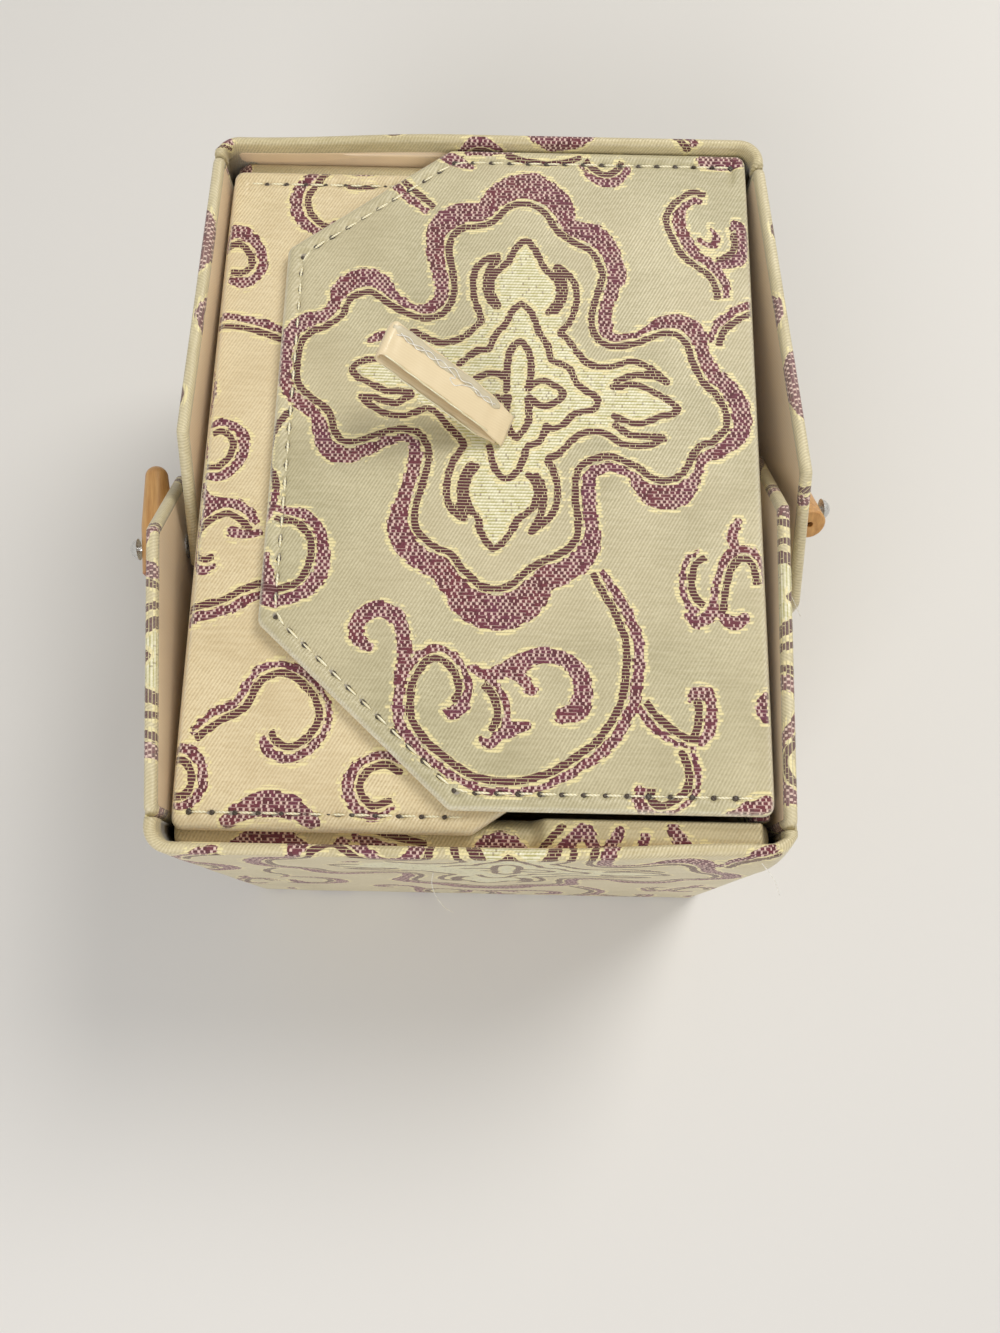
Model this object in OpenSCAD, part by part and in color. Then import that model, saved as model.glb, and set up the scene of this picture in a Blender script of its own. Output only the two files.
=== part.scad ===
// Brocade keepsake box: a satin-lined tray under two hinged flaps, with front and rear covers
// whose hinged wings wrap the sides and carry a wooden peg each.
// Millimetres. X runs to the right, Y to the rear, Z up; the box stands on z = 0.

/* [Tray] */
// Width of the tray over its side walls
tray_w = 106; // [90:1:140]
// Depth of the tray over its front and rear walls
tray_d = 144; // [130:1:180]
// Height of the front, rear and left walls
wall_h = 81; // [60:1:110]
// Thickness of the padded front and rear walls
end_wall_t = 6; // [5:0.5:9]
// Thickness of the side walls
side_wall_t = 3.4; // [3:0.2:6]
// Thickness of the base board
base_t = 3; // [2:0.5:5]
// Thickness of the padded cloth on the walls, inside and outside
wall_cloth_t = 0.9; // [0.5:0.1:1.1]
// How far the brocade turns down inside the tray
turn_down = 12; // [6:1:25]
// Height of the satin pad on the floor
pad_h = 8; // [4:1:20]
// Rounding of the pad's upper edge
pad_r = 3; // [1:0.5:3.5]
// Slack between the pad and the wall linings
pad_slack = 0.3; // [0.1:0.1:1]

/* [Panels] */
// Thickness of a flap, cloth and lining included
flap_t = 2.5; // [2:0.1:4]
// Thickness of a cover or wing, cloth and lining included
cover_t = 2.2; // [1.8:0.1:3.5]
// Thickness of the brocade and satin on a flap, cover or wing
cloth_t = 0.45; // [0.3:0.05:0.6]
// Width of the brocade turned in round each lining
hem_w = 2; // [1.2:0.1:6]
// Radius of the corners of flaps and wings
panel_r = 2; // [1:0.2:4]
// Height of the soft bevel along a panel's edges
edge_bevel = 0.6; // [0.3:0.1:0.8]

/* [Flaps] */
// Setback of the flaps' edges from the tray's front and rear faces
flap_setback = 3.5; // [2:0.1:5]
// Distance of the over flap's tongue from the tray's left side
tongue_setback = 13; // [6:0.5:30]
// Length of the over flap's straight front edge
over_front_straight = 57; // [40:1:75]
// Length of the over flap's straight rear edge
over_rear_straight = 61; // [40:1:75]
// Distance of the tongue's front corner from the over flap's middle
over_end_front = 35; // [20:1:55]
// Distance of the tongue's rear corner from the over flap's middle
over_end_rear = 44; // [20:1:55]
// Place of the over flap between the covers, from -1 at the front to 1 at the rear
over_place = 0.94; // [-1:0.02:1]
// Place of the under flap between the covers, from -1 at the front to 1 at the rear
under_place = -0.3; // [-1:0.02:1]
// Reach of the under flap from its hinge
under_reach = 63; // [55:1:64]
// Length of the under flap's straight front edge
under_straight = 53; // [30:1:54]
// Width of the under flap's end
under_end_w = 123; // [80:1:130]
// Height of the covers' rim over the closed over flap
rim_rise = 1.8; // [0.5:0.1:2]

/* [Wings] */
// Outer radius of the covers' upright corners
corner_r = 5; // [3:0.5:6]
// Gap between the tray's sides and the covers' corners
side_gap = 1.2; // [1:0.1:2]
// How far the covers' corners reach back along the sides
return_l = 4; // [3:0.5:6]
// Height of the wings' lower edge over the table
wing_lift = 1; // [0.5:0.5:3]
// Cut of the wings' upper free corners
wing_cut = 20; // [8:1:28]
// Length of the front left wing's top edge
front_left_top = 53.5; // [40:0.5:60]
// Width of the left notch between the wings' top edges
left_notch_w = 19.5; // [10:0.5:30]
// Length of the rear right wing's top edge
rear_right_top = 69; // [60:0.5:76]
// Width of the right notch between the wings' top edges
right_notch_w = 6.6; // [4:0.2:16]
// Angle at which the inner wings stand off the sides
inner_flare = 1.5; // [0.5:0.1:3]
// Gap between an inner wing's tip and the outer wing over it
wing_clear = 0.8; // [0.7:0.1:2]

/* [Closure loop] */
// Width of the loop's satin strap
loop_w = 7; // [5:0.5:10]
// Length of the loop
loop_l = 28; // [20:1:36]
// Thickness of the strap
strap_t = 0.9; // [0.5:0.1:1.3]
// Space between the loop's two layers
loop_gap = 0.9; // [0.5:0.1:2]
// Slack of the strap in its slit
slit_slack = 0.1; // [0.05:0.05:0.3]
// Spread of the strap's ends under the over flap
tail_l = 9; // [6:0.5:16]
// Distance of the slit from the over flap's hinge
slit_reach = 50; // [35:1:65]
// Distance of the slit to the rear of the box's middle
slit_y = 7.7; // [-15:0.1:15]
// Direction in which the loop leans, from the right round by the rear
loop_azimuth = 160; // [150:1:200]
// Slope of the loop over the flap
loop_slope = 38; // [0:1:80]

/* [Pegs] */
// Diameter of the wooden pegs
peg_d = 6.5; // [5:0.1:9]
// Length of the pegs
peg_l = 23; // [18:1:30]
// Diameter of a peg at its tip
peg_tip_d = 4.6; // [3:0.1:6]
// Distance of the pin from a peg's thick end
pin_from_end = 5.6; // [4:0.1:9]
// Diameter of the hole in the thick end
end_hole_d = 1.3; // [0.8:0.1:2]
// Depth of the hole in the thick end
end_hole_l = 3.5; // [2:0.5:4]
// Length of a peg's straight part
peg_straight = 10.4; // [7:0.2:14]
// Bevel of a peg's thick end
peg_bevel = 0.35; // [0.1:0.05:0.6]
// Distance of the pins below the rim
pin_drop = 21; // [19:1:45]
// Distance of the left pin from the front left wing's hinge
left_pin_reach = 58; // [45:1:66]
// Distance of the right pin from the rear right wing's hinge
right_pin_reach = 68; // [50:1:80]
// Slope of the left peg, tip down
left_peg_slope = -6; // [-90:1:90]
// Slope of the right peg, tip down
right_peg_slope = 36; // [-90:1:90]

/* [Pins] */
// Diameter of the pins
pin_d = 1.2; // [0.8:0.1:2]
// Diameter of the pins' heads
head_d = 4.4; // [3:0.1:6]
// Height of the pins' domed heads
head_h = 1.7; // [1:0.1:2]
// Length of the neck left between a peg and the head
neck_l = 0.7; // [0.2:0.1:2]
// Radial clearance of a peg and a wing on the pin
pin_play = 0.05; // [0.02:0.01:0.08]
// Diameter of the washers inside the wings
washer_d = 5; // [4:0.5:8]
// Thickness of the washers
washer_t = 0.4; // [0.2:0.1:0.6]

/* [Clearances] */
// Gap between flaps, walls and other stacked pieces that move
lay_gap = 0.3; // [0.2:0.05:0.5]
// Gap at the hinge line of each wing
hinge_gap = 0.4; // [0.3:0.05:0.6]
// Gap between a peg and its wing
peg_gap = 0.4; // [0.3:0.1:1]

/* [Hidden] */
$fn = 48;

// Heights of the closed stack, from the walls up to the rim
floor_z = cloth_t + base_t;
under_z = wall_h + lay_gap;
over_z = under_z + flap_t + lay_gap;
over_top = over_z + flap_t;
right_wall_h = over_z - lay_gap;
rim_h = over_top + rim_rise;

// Lines in plan that the covers and wings share
inner_w = tray_w - 2 * side_wall_t;
inner_d = tray_d - 2 * end_wall_t;
front_y = -tray_d / 2;
hinge_x = tray_w / 2 + side_gap + cover_t;
hinge_y = tray_d / 2 - return_l;

// The inner wings fill what the outer wing and the notch leave, and the outer wings flare over them
rear_left_top = 2 * hinge_y - front_left_top - left_notch_w;
front_right_top = 2 * hinge_y - rear_right_top - right_notch_w;
left_flare = flare_over(rear_left_top, front_left_top + left_notch_w);
right_flare = flare_over(front_right_top, rear_right_top + right_notch_w);
function flare_over(inner_top, span) =
    asin((cover_t + wing_clear + (inner_top + wing_cut) * sin(inner_flare)) / (span - wing_cut));

// Outlines, as points with the hinge edge on p = 0
flap_d = tray_d - 2 * flap_setback;
over_reach = tray_w - tongue_setback;
over_points = placed(over_place, [
    [0, -flap_d / 2], [over_front_straight, -flap_d / 2], [over_reach, -over_end_front],
    [over_reach, over_end_rear], [over_rear_straight, flap_d / 2], [0, flap_d / 2]
]);
under_points = placed(under_place, [
    [0, -flap_d / 2], [under_straight, -flap_d / 2], [under_reach, -under_end_w / 2],
    [under_reach, under_end_w / 2], [under_straight, flap_d / 2], [0, flap_d / 2]
]);
function placed(place, points) = [for (p = points) p + [0, place * (flap_setback - lay_gap)]];

// Wing outlines, with the hinge edge on p = 0 and the height as q
function wing_points(top) = [
    [hinge_gap / 2, wing_lift], [top + wing_cut, wing_lift], [top + wing_cut, rim_h - wing_cut],
    [top, rim_h], [hinge_gap / 2, rim_h]
];

// How far a cutter runs past what it cuts
over_cut = 1;

brocade_colour = "#b9b08a";
satin_colour = "#dcbf98";
board_colour = "#9d978c";
wood_colour = "#c49a5f";
metal_colour = "#c9ccd1";

// Layered panels: outline in the plane, lining face at w = 0, brocade face at w = t
module outline(points, inset = 0) {
    offset(r = panel_r, $fn = 20) offset(delta = -(inset + panel_r)) polygon(points);
}

module panel_board(points, t) {
    translate([0, 0, cloth_t]) linear_extrude(t - 2 * cloth_t) outline(points, cloth_t);
}

module panel_lining(points) {
    linear_extrude(cloth_t) outline(points, hem_w);
}

module panel_brocade(points, t) {
    difference() {
        hull() {
            linear_extrude(t) outline(points, edge_bevel);
            translate([0, 0, edge_bevel]) linear_extrude(t - 2 * edge_bevel) outline(points);
        }
        panel_board(points, t);
        translate([0, 0, -over_cut]) linear_extrude(over_cut + cloth_t) outline(points, hem_w);
    }
}

// A tray wall of a given length along X, its outer face on y = 0 and the tray on its rear side
module wall_section(t, h, inset = 0) {
    r = t / 2;
    translate([inset, floor_z]) square([t - 2 * inset, h - floor_z - r]);
    translate([r, h - r]) circle(r - inset);
}

module along_x(length) {
    translate([-length / 2, 0, 0]) rotate([90, 0, 90]) linear_extrude(length) children();
}

module wall_board(length, t, h) {
    along_x(length) wall_section(t, h, wall_cloth_t);
}

module wall_lining(length, t, h) {
    lining_h = h - t / 2 - turn_down - floor_z;
    along_x(length) translate([t - wall_cloth_t, floor_z]) square([wall_cloth_t, lining_h]);
}

module wall_brocade(length, t, h) {
    along_x(length) difference() {
        wall_section(t, h);
        wall_section(t, h, wall_cloth_t);
        lining_h = h - t / 2 - turn_down - floor_z;
        translate([t - wall_cloth_t, floor_z]) square([wall_cloth_t + over_cut, lining_h]);
    }
}

module at_front() {
    translate([0, front_y, 0]) children();
}

module at_rear() {
    rotate([0, 0, 180]) at_front() children();
}

module at_left() {
    translate([-tray_w / 2, 0, 0]) rotate([0, 0, -90]) children();
}

module at_right() {
    rotate([0, 0, 180]) at_left() children();
}

// Front cover: a flat panel whose brocade rounds both corners and ends at the wings' hinges
module cover_plan(inset, r) {
    x = hinge_x - inset;
    y = front_y - cover_t + inset;
    back = return_l + cover_t - inset;
    translate([-x + r, y]) square([2 * (x - r), back]);
    translate([-x, y + r]) square([2 * x, back - r]);
    for (side = [-1, 1]) translate([side * (x - r), y + r]) intersection() {
        circle(r);
        translate([-r, -r]) square([2 * r, r]);
    }
}

// The inner corners are tighter, so that the tray's sharp corners stay clear of them
module cover_ring() {
    difference() {
        cover_plan(0, corner_r);
        cover_plan(cover_t, 0.8 * side_gap);
    }
}

module cover_board() {
    board_w = 2 * (hinge_x - corner_r);
    translate([-board_w / 2, front_y - cover_t + cloth_t, cloth_t])
        cube([board_w, cover_t - 2 * cloth_t, rim_h - cover_t / 2 - 2 * cloth_t]);
}

module cover_lining() {
    lining_w = 2 * (hinge_x - corner_r) - 2 * hem_w;
    translate([-lining_w / 2, front_y - cloth_t, hem_w])
        cube([lining_w, cloth_t, rim_h - cover_t / 2 - 2 * hem_w]);
}

module cover_rim() {
    r = cover_t / 2;
    x = hinge_x - corner_r;
    y = front_y - cover_t;
    translate([-x, y + r, 0]) rotate([0, 90, 0]) cylinder(r = r, h = 2 * x, $fn = 24);
    for (side = [-1, 1]) {
        translate([side * x, y + corner_r, 0]) rotate([0, 0, side < 0 ? 180 : 270])
            rotate_extrude(angle = 90) translate([corner_r - r, 0]) circle(r, $fn = 24);
        translate([side * (hinge_x - r), y + corner_r, 0]) rotate([-90, 0, 0])
            cylinder(r = r, h = return_l + cover_t - corner_r, $fn = 24);
    }
}

module cover_brocade() {
    difference() {
        union() {
            linear_extrude(rim_h - cover_t / 2) cover_ring();
            translate([0, 0, rim_h - cover_t / 2]) cover_rim();
        }
        cover_board();
        cover_lining();
    }
}

// Wings: end is -1 at the front cover and 1 at the rear one, side is -1 left and 1 right
module flipped(x, y) {
    if (x && y) mirror([1, 0, 0]) mirror([0, 1, 0]) children();
    else if (x) mirror([1, 0, 0]) children();
    else if (y) mirror([0, 1, 0]) children();
    else children();
}

module at_wing(side, end, flare) {
    flipped(side > 0, end > 0) translate([-hinge_x, -hinge_y, 0]) rotate([0, 0, flare]) children();
}

module upright_panel() {
    translate([cover_t, 0, 0]) mirror([1, 0, 0]) rotate([90, 0, 90]) children();
}

module pin_hole(reach) {
    translate([-over_cut, reach, rim_h - pin_drop]) rotate([0, 90, 0])
        cylinder(d = pin_d + 2 * pin_play, h = cover_t + 2 * over_cut);
}

module drilled(reach) {
    difference() {
        children();
        pin_hole(reach);
    }
}

module wing_board(top) {
    upright_panel() panel_board(wing_points(top), cover_t);
}

module wing_brocade(top) {
    upright_panel() panel_brocade(wing_points(top), cover_t);
}

module wing_lining(top) {
    upright_panel() panel_lining(wing_points(top));
}

// Pin, peg and washer on a wing's outer face, with the pin along X
module at_pin(reach) {
    translate([0, reach, rim_h - pin_drop]) children();
}

module pin() {
    shank_out = peg_gap + peg_d + neck_l;
    rotate([0, -90, 0]) {
        translate([0, 0, -cover_t - washer_t]) cylinder(d = pin_d, h = cover_t + washer_t + shank_out);
        translate([0, 0, shank_out]) intersection() {
            cylinder(d = head_d, h = head_h);
            dome_r = (head_h * head_h + head_d * head_d / 4) / (2 * head_h);
            translate([0, 0, head_h - dome_r]) sphere(r = dome_r, $fn = 64);
        }
    }
}

module washer() {
    translate([cover_t, 0, 0]) rotate([0, 90, 0]) difference() {
        cylinder(d = washer_d, h = washer_t);
        translate([0, 0, -over_cut]) cylinder(d = pin_d + 2 * pin_play, h = washer_t + 2 * over_cut);
    }
}

module peg_profile() {
    r = peg_d / 2;
    tip = peg_tip_d / 2;
    difference() {
        union() {
            polygon([
                [0, 0], [r - peg_bevel, 0], [r, peg_bevel], [r, peg_straight],
                [tip, peg_l - tip], [0, peg_l - tip]
            ]);
            translate([0, peg_l - tip]) intersection() {
                circle(tip);
                square(tip);
            }
        }
        translate([-over_cut, -over_cut]) square([over_cut + end_hole_d / 2, over_cut + end_hole_l]);
    }
}

module peg(slope) {
    translate([-peg_gap - peg_d / 2, 0, 0]) rotate([-slope, 0, 0]) difference() {
        rotate([-90, 0, 0]) translate([0, 0, -pin_from_end]) rotate_extrude() peg_profile();
        rotate([0, 90, 0]) cylinder(d = pin_d + 2 * pin_play, h = 2 * peg_d, center = true);
    }
}

// Flaps: under flap hinged on the left wall, over flap on the right one
module at_under_hinge() {
    translate([-tray_w / 2, 0, under_z]) children();
}

module at_over_hinge() {
    translate([tray_w / 2, 0, over_z]) mirror([1, 0, 0]) children();
}

slit_w = 2 * (strap_t + slit_slack);
slit_l = loop_w + 2 * slit_slack;

module slit(l, w) {
    translate([slit_reach, slit_y, 0]) rotate([0, 0, 180 - loop_azimuth]) translate([-w / 2, -l / 2])
        children();
}

module with_slit() {
    difference() {
        children();
        slit(slit_l, slit_w) translate([0, 0, -over_cut]) cube([slit_w, slit_l, flap_t + 2 * over_cut]);
    }
}

// The strap's two ends, drawn down through the slit and turned apart under the board
module tail_section() {
    translate([-strap_t, cloth_t]) square([2 * strap_t, flap_t - cloth_t]);
    translate([-tail_l / 2, 0]) square([tail_l, cloth_t]);
}

module loop_section() {
    r = strap_t + loop_gap / 2;
    difference() {
        union() {
            translate([0, -r]) square([loop_l - r, 2 * r]);
            translate([loop_l - r, 0]) circle(r, $fn = 24);
        }
        translate([2 * strap_t, -loop_gap / 2]) square([loop_l - r - 2 * strap_t, loop_gap]);
        translate([loop_l - r, 0]) circle(loop_gap / 2, $fn = 24);
    }
}

module base_cloth() {
    color(brocade_colour) translate([-tray_w / 2, -tray_d / 2, 0]) cube([tray_w, tray_d, cloth_t]);
}

module base_board() {
    color(board_colour) translate([-tray_w / 2, -tray_d / 2, cloth_t]) cube([tray_w, tray_d, base_t]);
}

module base_pad() {
    w = inner_w - 2 * pad_slack;
    d = inner_d - 2 * pad_slack;
    color(satin_colour) translate([0, 0, floor_z]) hull() {
        translate([-w / 2, -d / 2, 0]) cube([w, d, pad_h - pad_r]);
        for (x = [-1, 1], y = [-1, 1]) translate([x * (w / 2 - pad_r), y * (d / 2 - pad_r), pad_h - pad_r])
            sphere(pad_r, $fn = 16);
    }
}

module front_wall_board() {
    color(board_colour) at_front() wall_board(tray_w, end_wall_t, wall_h);
}

module front_wall_brocade() {
    color(brocade_colour) at_front() wall_brocade(tray_w, end_wall_t, wall_h);
}

module front_wall_lining() {
    color(satin_colour) at_front() wall_lining(tray_w, end_wall_t, wall_h);
}

module rear_wall_board() {
    color(board_colour) at_rear() wall_board(tray_w, end_wall_t, wall_h);
}

module rear_wall_brocade() {
    color(brocade_colour) at_rear() wall_brocade(tray_w, end_wall_t, wall_h);
}

module rear_wall_lining() {
    color(satin_colour) at_rear() wall_lining(tray_w, end_wall_t, wall_h);
}

module left_wall_board() {
    color(board_colour) at_left() wall_board(inner_d, side_wall_t, wall_h);
}

module left_wall_brocade() {
    color(brocade_colour) at_left() wall_brocade(inner_d, side_wall_t, wall_h);
}

module left_wall_lining() {
    color(satin_colour) at_left() wall_lining(inner_d, side_wall_t, wall_h);
}

module right_wall_board() {
    color(board_colour) at_right() wall_board(inner_d, side_wall_t, right_wall_h);
}

module right_wall_brocade() {
    color(brocade_colour) at_right() wall_brocade(inner_d, side_wall_t, right_wall_h);
}

module right_wall_lining() {
    color(satin_colour) at_right() wall_lining(inner_d, side_wall_t, right_wall_h);
}

module front_cover_board() {
    color(board_colour) cover_board();
}

module front_cover_brocade() {
    color(brocade_colour) cover_brocade();
}

module front_cover_lining() {
    color(satin_colour) cover_lining();
}

module rear_cover_board() {
    color(board_colour) rotate([0, 0, 180]) cover_board();
}

module rear_cover_brocade() {
    color(brocade_colour) rotate([0, 0, 180]) cover_brocade();
}

module rear_cover_lining() {
    color(satin_colour) rotate([0, 0, 180]) cover_lining();
}

module under_flap_board() {
    color(board_colour) at_under_hinge() panel_board(under_points, flap_t);
}

module under_flap_brocade() {
    color(brocade_colour) at_under_hinge() panel_brocade(under_points, flap_t);
}

module under_flap_lining() {
    color(satin_colour) at_under_hinge() panel_lining(under_points);
}

module over_flap_board() {
    color(board_colour) at_over_hinge() with_slit() panel_board(over_points, flap_t);
}

module over_flap_brocade() {
    color(brocade_colour) at_over_hinge() with_slit() panel_brocade(over_points, flap_t);
}

module over_flap_lining() {
    color(satin_colour) at_over_hinge() difference() {
        panel_lining(over_points);
        slit(loop_w, tail_l) translate([0, 0, -over_cut]) cube([tail_l, loop_w, cloth_t + 2 * over_cut]);
    }
}

module loop_tail() {
    color(satin_colour) at_over_hinge() slit(loop_w, 0) translate([0, loop_w, 0])
        rotate([90, 0, 0]) linear_extrude(loop_w) tail_section();
}

module closure_loop() {
    r = strap_t + loop_gap / 2;
    color(satin_colour)
        translate([tray_w / 2 - slit_reach, slit_y, over_top + lay_gap / 2 + r])
        rotate([0, -loop_slope, loop_azimuth]) translate([0, loop_w / 2, 0])
        rotate([90, 0, 0]) linear_extrude(loop_w) loop_section();
}

module front_left_wing_board() {
    color(board_colour) at_wing(-1, -1, left_flare) drilled(left_pin_reach) wing_board(front_left_top);
}

module front_left_wing_brocade() {
    color(brocade_colour) at_wing(-1, -1, left_flare) drilled(left_pin_reach)
        wing_brocade(front_left_top);
}

module front_left_wing_lining() {
    color(satin_colour) at_wing(-1, -1, left_flare) drilled(left_pin_reach) wing_lining(front_left_top);
}

module rear_left_wing_board() {
    color(board_colour) at_wing(-1, 1, inner_flare) wing_board(rear_left_top);
}

module rear_left_wing_brocade() {
    color(brocade_colour) at_wing(-1, 1, inner_flare) wing_brocade(rear_left_top);
}

module rear_left_wing_lining() {
    color(satin_colour) at_wing(-1, 1, inner_flare) wing_lining(rear_left_top);
}

module front_right_wing_board() {
    color(board_colour) at_wing(1, -1, inner_flare) wing_board(front_right_top);
}

module front_right_wing_brocade() {
    color(brocade_colour) at_wing(1, -1, inner_flare) wing_brocade(front_right_top);
}

module front_right_wing_lining() {
    color(satin_colour) at_wing(1, -1, inner_flare) wing_lining(front_right_top);
}

module rear_right_wing_board() {
    color(board_colour) at_wing(1, 1, right_flare) drilled(right_pin_reach) wing_board(rear_right_top);
}

module rear_right_wing_brocade() {
    color(brocade_colour) at_wing(1, 1, right_flare) drilled(right_pin_reach)
        wing_brocade(rear_right_top);
}

module rear_right_wing_lining() {
    color(satin_colour) at_wing(1, 1, right_flare) drilled(right_pin_reach)
        wing_lining(rear_right_top);
}

module left_pin() {
    color(metal_colour) at_wing(-1, -1, left_flare) at_pin(left_pin_reach) pin();
}

module left_washer() {
    color(metal_colour) at_wing(-1, -1, left_flare) at_pin(left_pin_reach) washer();
}

module left_peg() {
    color(wood_colour) at_wing(-1, -1, left_flare) at_pin(left_pin_reach) peg(left_peg_slope);
}

module right_pin() {
    color(metal_colour) at_wing(1, 1, right_flare) at_pin(right_pin_reach) pin();
}

module right_washer() {
    color(metal_colour) at_wing(1, 1, right_flare) at_pin(right_pin_reach) washer();
}

module right_peg() {
    color(wood_colour) at_wing(1, 1, right_flare) at_pin(right_pin_reach)
        mirror([0, 1, 0]) peg(right_peg_slope);
}

base_cloth();
base_board();
base_pad();
front_wall_board();
front_wall_brocade();
front_wall_lining();
rear_wall_board();
rear_wall_brocade();
rear_wall_lining();
left_wall_board();
left_wall_brocade();
left_wall_lining();
right_wall_board();
right_wall_brocade();
right_wall_lining();
front_cover_board();
front_cover_brocade();
front_cover_lining();
rear_cover_board();
rear_cover_brocade();
rear_cover_lining();
under_flap_board();
under_flap_brocade();
under_flap_lining();
over_flap_board();
over_flap_brocade();
over_flap_lining();
loop_tail();
closure_loop();
front_left_wing_board();
front_left_wing_brocade();
front_left_wing_lining();
rear_left_wing_board();
rear_left_wing_brocade();
rear_left_wing_lining();
front_right_wing_board();
front_right_wing_brocade();
front_right_wing_lining();
rear_right_wing_board();
rear_right_wing_brocade();
rear_right_wing_lining();
left_pin();
left_washer();
left_peg();
right_pin();
right_washer();
right_peg();
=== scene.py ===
# %% [markdown]
# # A brocade keepsake box
# The real thing is a small box of paperboard panels covered in silk brocade and lined with satin.
# Two flaps close it from above, soft wings wrap its sides, and a little satin loop stands up from
# the upper flap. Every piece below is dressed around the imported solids, which stay where they are.

# %% The frame
import math

import bpy
import numpy as np
from mathutils import Matrix, Vector


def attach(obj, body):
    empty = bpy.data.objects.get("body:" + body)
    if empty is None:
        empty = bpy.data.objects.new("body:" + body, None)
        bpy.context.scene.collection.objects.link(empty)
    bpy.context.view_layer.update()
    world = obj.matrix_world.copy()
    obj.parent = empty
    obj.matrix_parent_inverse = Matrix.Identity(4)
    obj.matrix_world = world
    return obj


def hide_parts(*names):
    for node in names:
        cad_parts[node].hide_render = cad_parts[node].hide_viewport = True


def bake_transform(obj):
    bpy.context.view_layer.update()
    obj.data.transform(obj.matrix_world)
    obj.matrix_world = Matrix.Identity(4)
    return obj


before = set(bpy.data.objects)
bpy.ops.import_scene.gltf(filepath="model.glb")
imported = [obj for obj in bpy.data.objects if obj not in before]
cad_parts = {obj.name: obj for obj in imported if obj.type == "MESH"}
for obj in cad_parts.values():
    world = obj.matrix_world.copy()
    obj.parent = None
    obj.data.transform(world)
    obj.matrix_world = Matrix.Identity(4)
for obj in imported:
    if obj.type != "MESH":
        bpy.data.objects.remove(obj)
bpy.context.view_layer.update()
MM = 0.001
scene = bpy.context.scene

# %% [markdown]
# ## Small helpers for materials
# A material is a tree of nodes. Writing one by hand takes many clicks, so a few helpers do the
# clicking: one adds a node and fills its inputs, one blends two colours, one reads a value that is
# stored on the mesh. Each kind of sum has a short name, so a pattern reads like a formula.

# %% Material helpers
def tone(red, green, blue):
    """A colour as a screen shows it, from 0 to 255, as the shader wants it."""
    def linear(value):
        value /= 255
        return value / 12.92 if value <= 0.04045 else ((value + 0.055) / 1.055) ** 2.4
    return (linear(red), linear(green), linear(blue), 1.0)


def feed(value, socket):
    """Links another node's output to the socket, or sets it to a plain value."""
    if isinstance(value, bpy.types.NodeSocket):
        socket.id_data.links.new(value, socket)
    else:
        socket.default_value = value


def fill(node, inputs):
    for name, value in inputs.items():
        feed(value, node.inputs[name])


def add_node(tree, kind, inputs=None, **settings):
    node = tree.nodes.new(kind)
    for name, value in settings.items():
        setattr(node, name, value)
    fill(node, inputs or {})
    return node


def new_material(name, inputs):
    """A material, its tree of nodes and its shader, with the shader's plain values set."""
    material = bpy.data.materials.new(name)
    material.use_nodes = True
    tree = material.node_tree
    shader = tree.nodes["Principled BSDF"]
    fill(shader, inputs)
    return material, tree, shader


def maths(operation):
    """A sum for the shader to work out; at least one of its values comes from a node."""
    def work_out(*values, clamp=False):
        tree = next(v.id_data for v in values if isinstance(v, bpy.types.NodeSocket))
        settings = {"operation": operation, "use_clamp": clamp}
        return add_node(tree, "ShaderNodeMath", dict(enumerate(values)), **settings).outputs[0]
    return work_out


plus, minus, times, per = (maths(name) for name in ("ADD", "SUBTRACT", "MULTIPLY", "DIVIDE"))
ramp = maths("MULTIPLY_ADD")     # value, slope, offset
least, most, sine = maths("MINIMUM"), maths("MAXIMUM"), maths("SINE")
whole, rest_of = maths("FLOOR"), maths("FRACT")
below, above = maths("LESS_THAN"), maths("GREATER_THAN")


def mix_colour(share, first, second):
    inputs = {0: share, 6: first, 7: second}
    return add_node(share.id_data, "ShaderNodeMix", inputs, data_type="RGBA").outputs[2]


def stored(tree, name, output="Fac"):
    return add_node(tree, "ShaderNodeAttribute", attribute_name=name).outputs[output]


def object_place(tree):
    return tree.nodes.new("ShaderNodeTexCoord").outputs["Object"]


def stretched(vector, scale, rotation=(0.0, 0.0, 0.0)):
    inputs = {"Vector": vector, "Scale": scale, "Rotation": rotation}
    return add_node(vector.id_data, "ShaderNodeMapping", inputs).outputs[0]


def on_vectors(operation, inputs, output="Vector"):
    tree = next(v.id_data for v in inputs.values() if isinstance(v, bpy.types.NodeSocket))
    return add_node(tree, "ShaderNodeVectorMath", inputs, operation=operation).outputs[output]


def dice(x, y):
    """A steady random number from 0 to 1 for each whole x and y."""
    tree = x.id_data
    both = add_node(tree, "ShaderNodeCombineXYZ", {"X": x, "Y": y}).outputs[0]
    noise = add_node(tree, "ShaderNodeTexWhiteNoise", noise_dimensions="2D")
    feed(both, noise.inputs["Vector"])
    return noise.outputs["Value"]


def cloud(vector, scale, detail=2.0):
    inputs = {"Vector": vector, "Scale": scale, "Detail": detail}
    return add_node(vector.id_data, "ShaderNodeTexNoise", inputs).outputs["Fac"]


def stripes(vector, distortion=0.0):
    inputs = {"Vector": vector, "Scale": 900.0, "Distortion": distortion}
    wave = add_node(vector.id_data, "ShaderNodeTexWave", inputs, bands_direction="DIAGONAL")
    return wave.outputs["Fac"]


def add_bump(shader, height, distance, strength):
    inputs = {"Strength": strength, "Distance": distance, "Height": height}
    bump = add_node(shader.id_data, "ShaderNodeBump", inputs)
    feed(bump.outputs[0], shader.inputs["Normal"])


print("helpers ready")

# %% [markdown]
# ## Camera, light and floor
# The photograph looks down at the lid from the front, about fifteen degrees off the vertical. A
# camera can be placed by its angles, but here the three axes are worked out from the tilt and the
# small roll, because that is how the fit to the picture was made. The light is a plain bright
# world with two soft lamps, so that colours render about as they are written.

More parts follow.
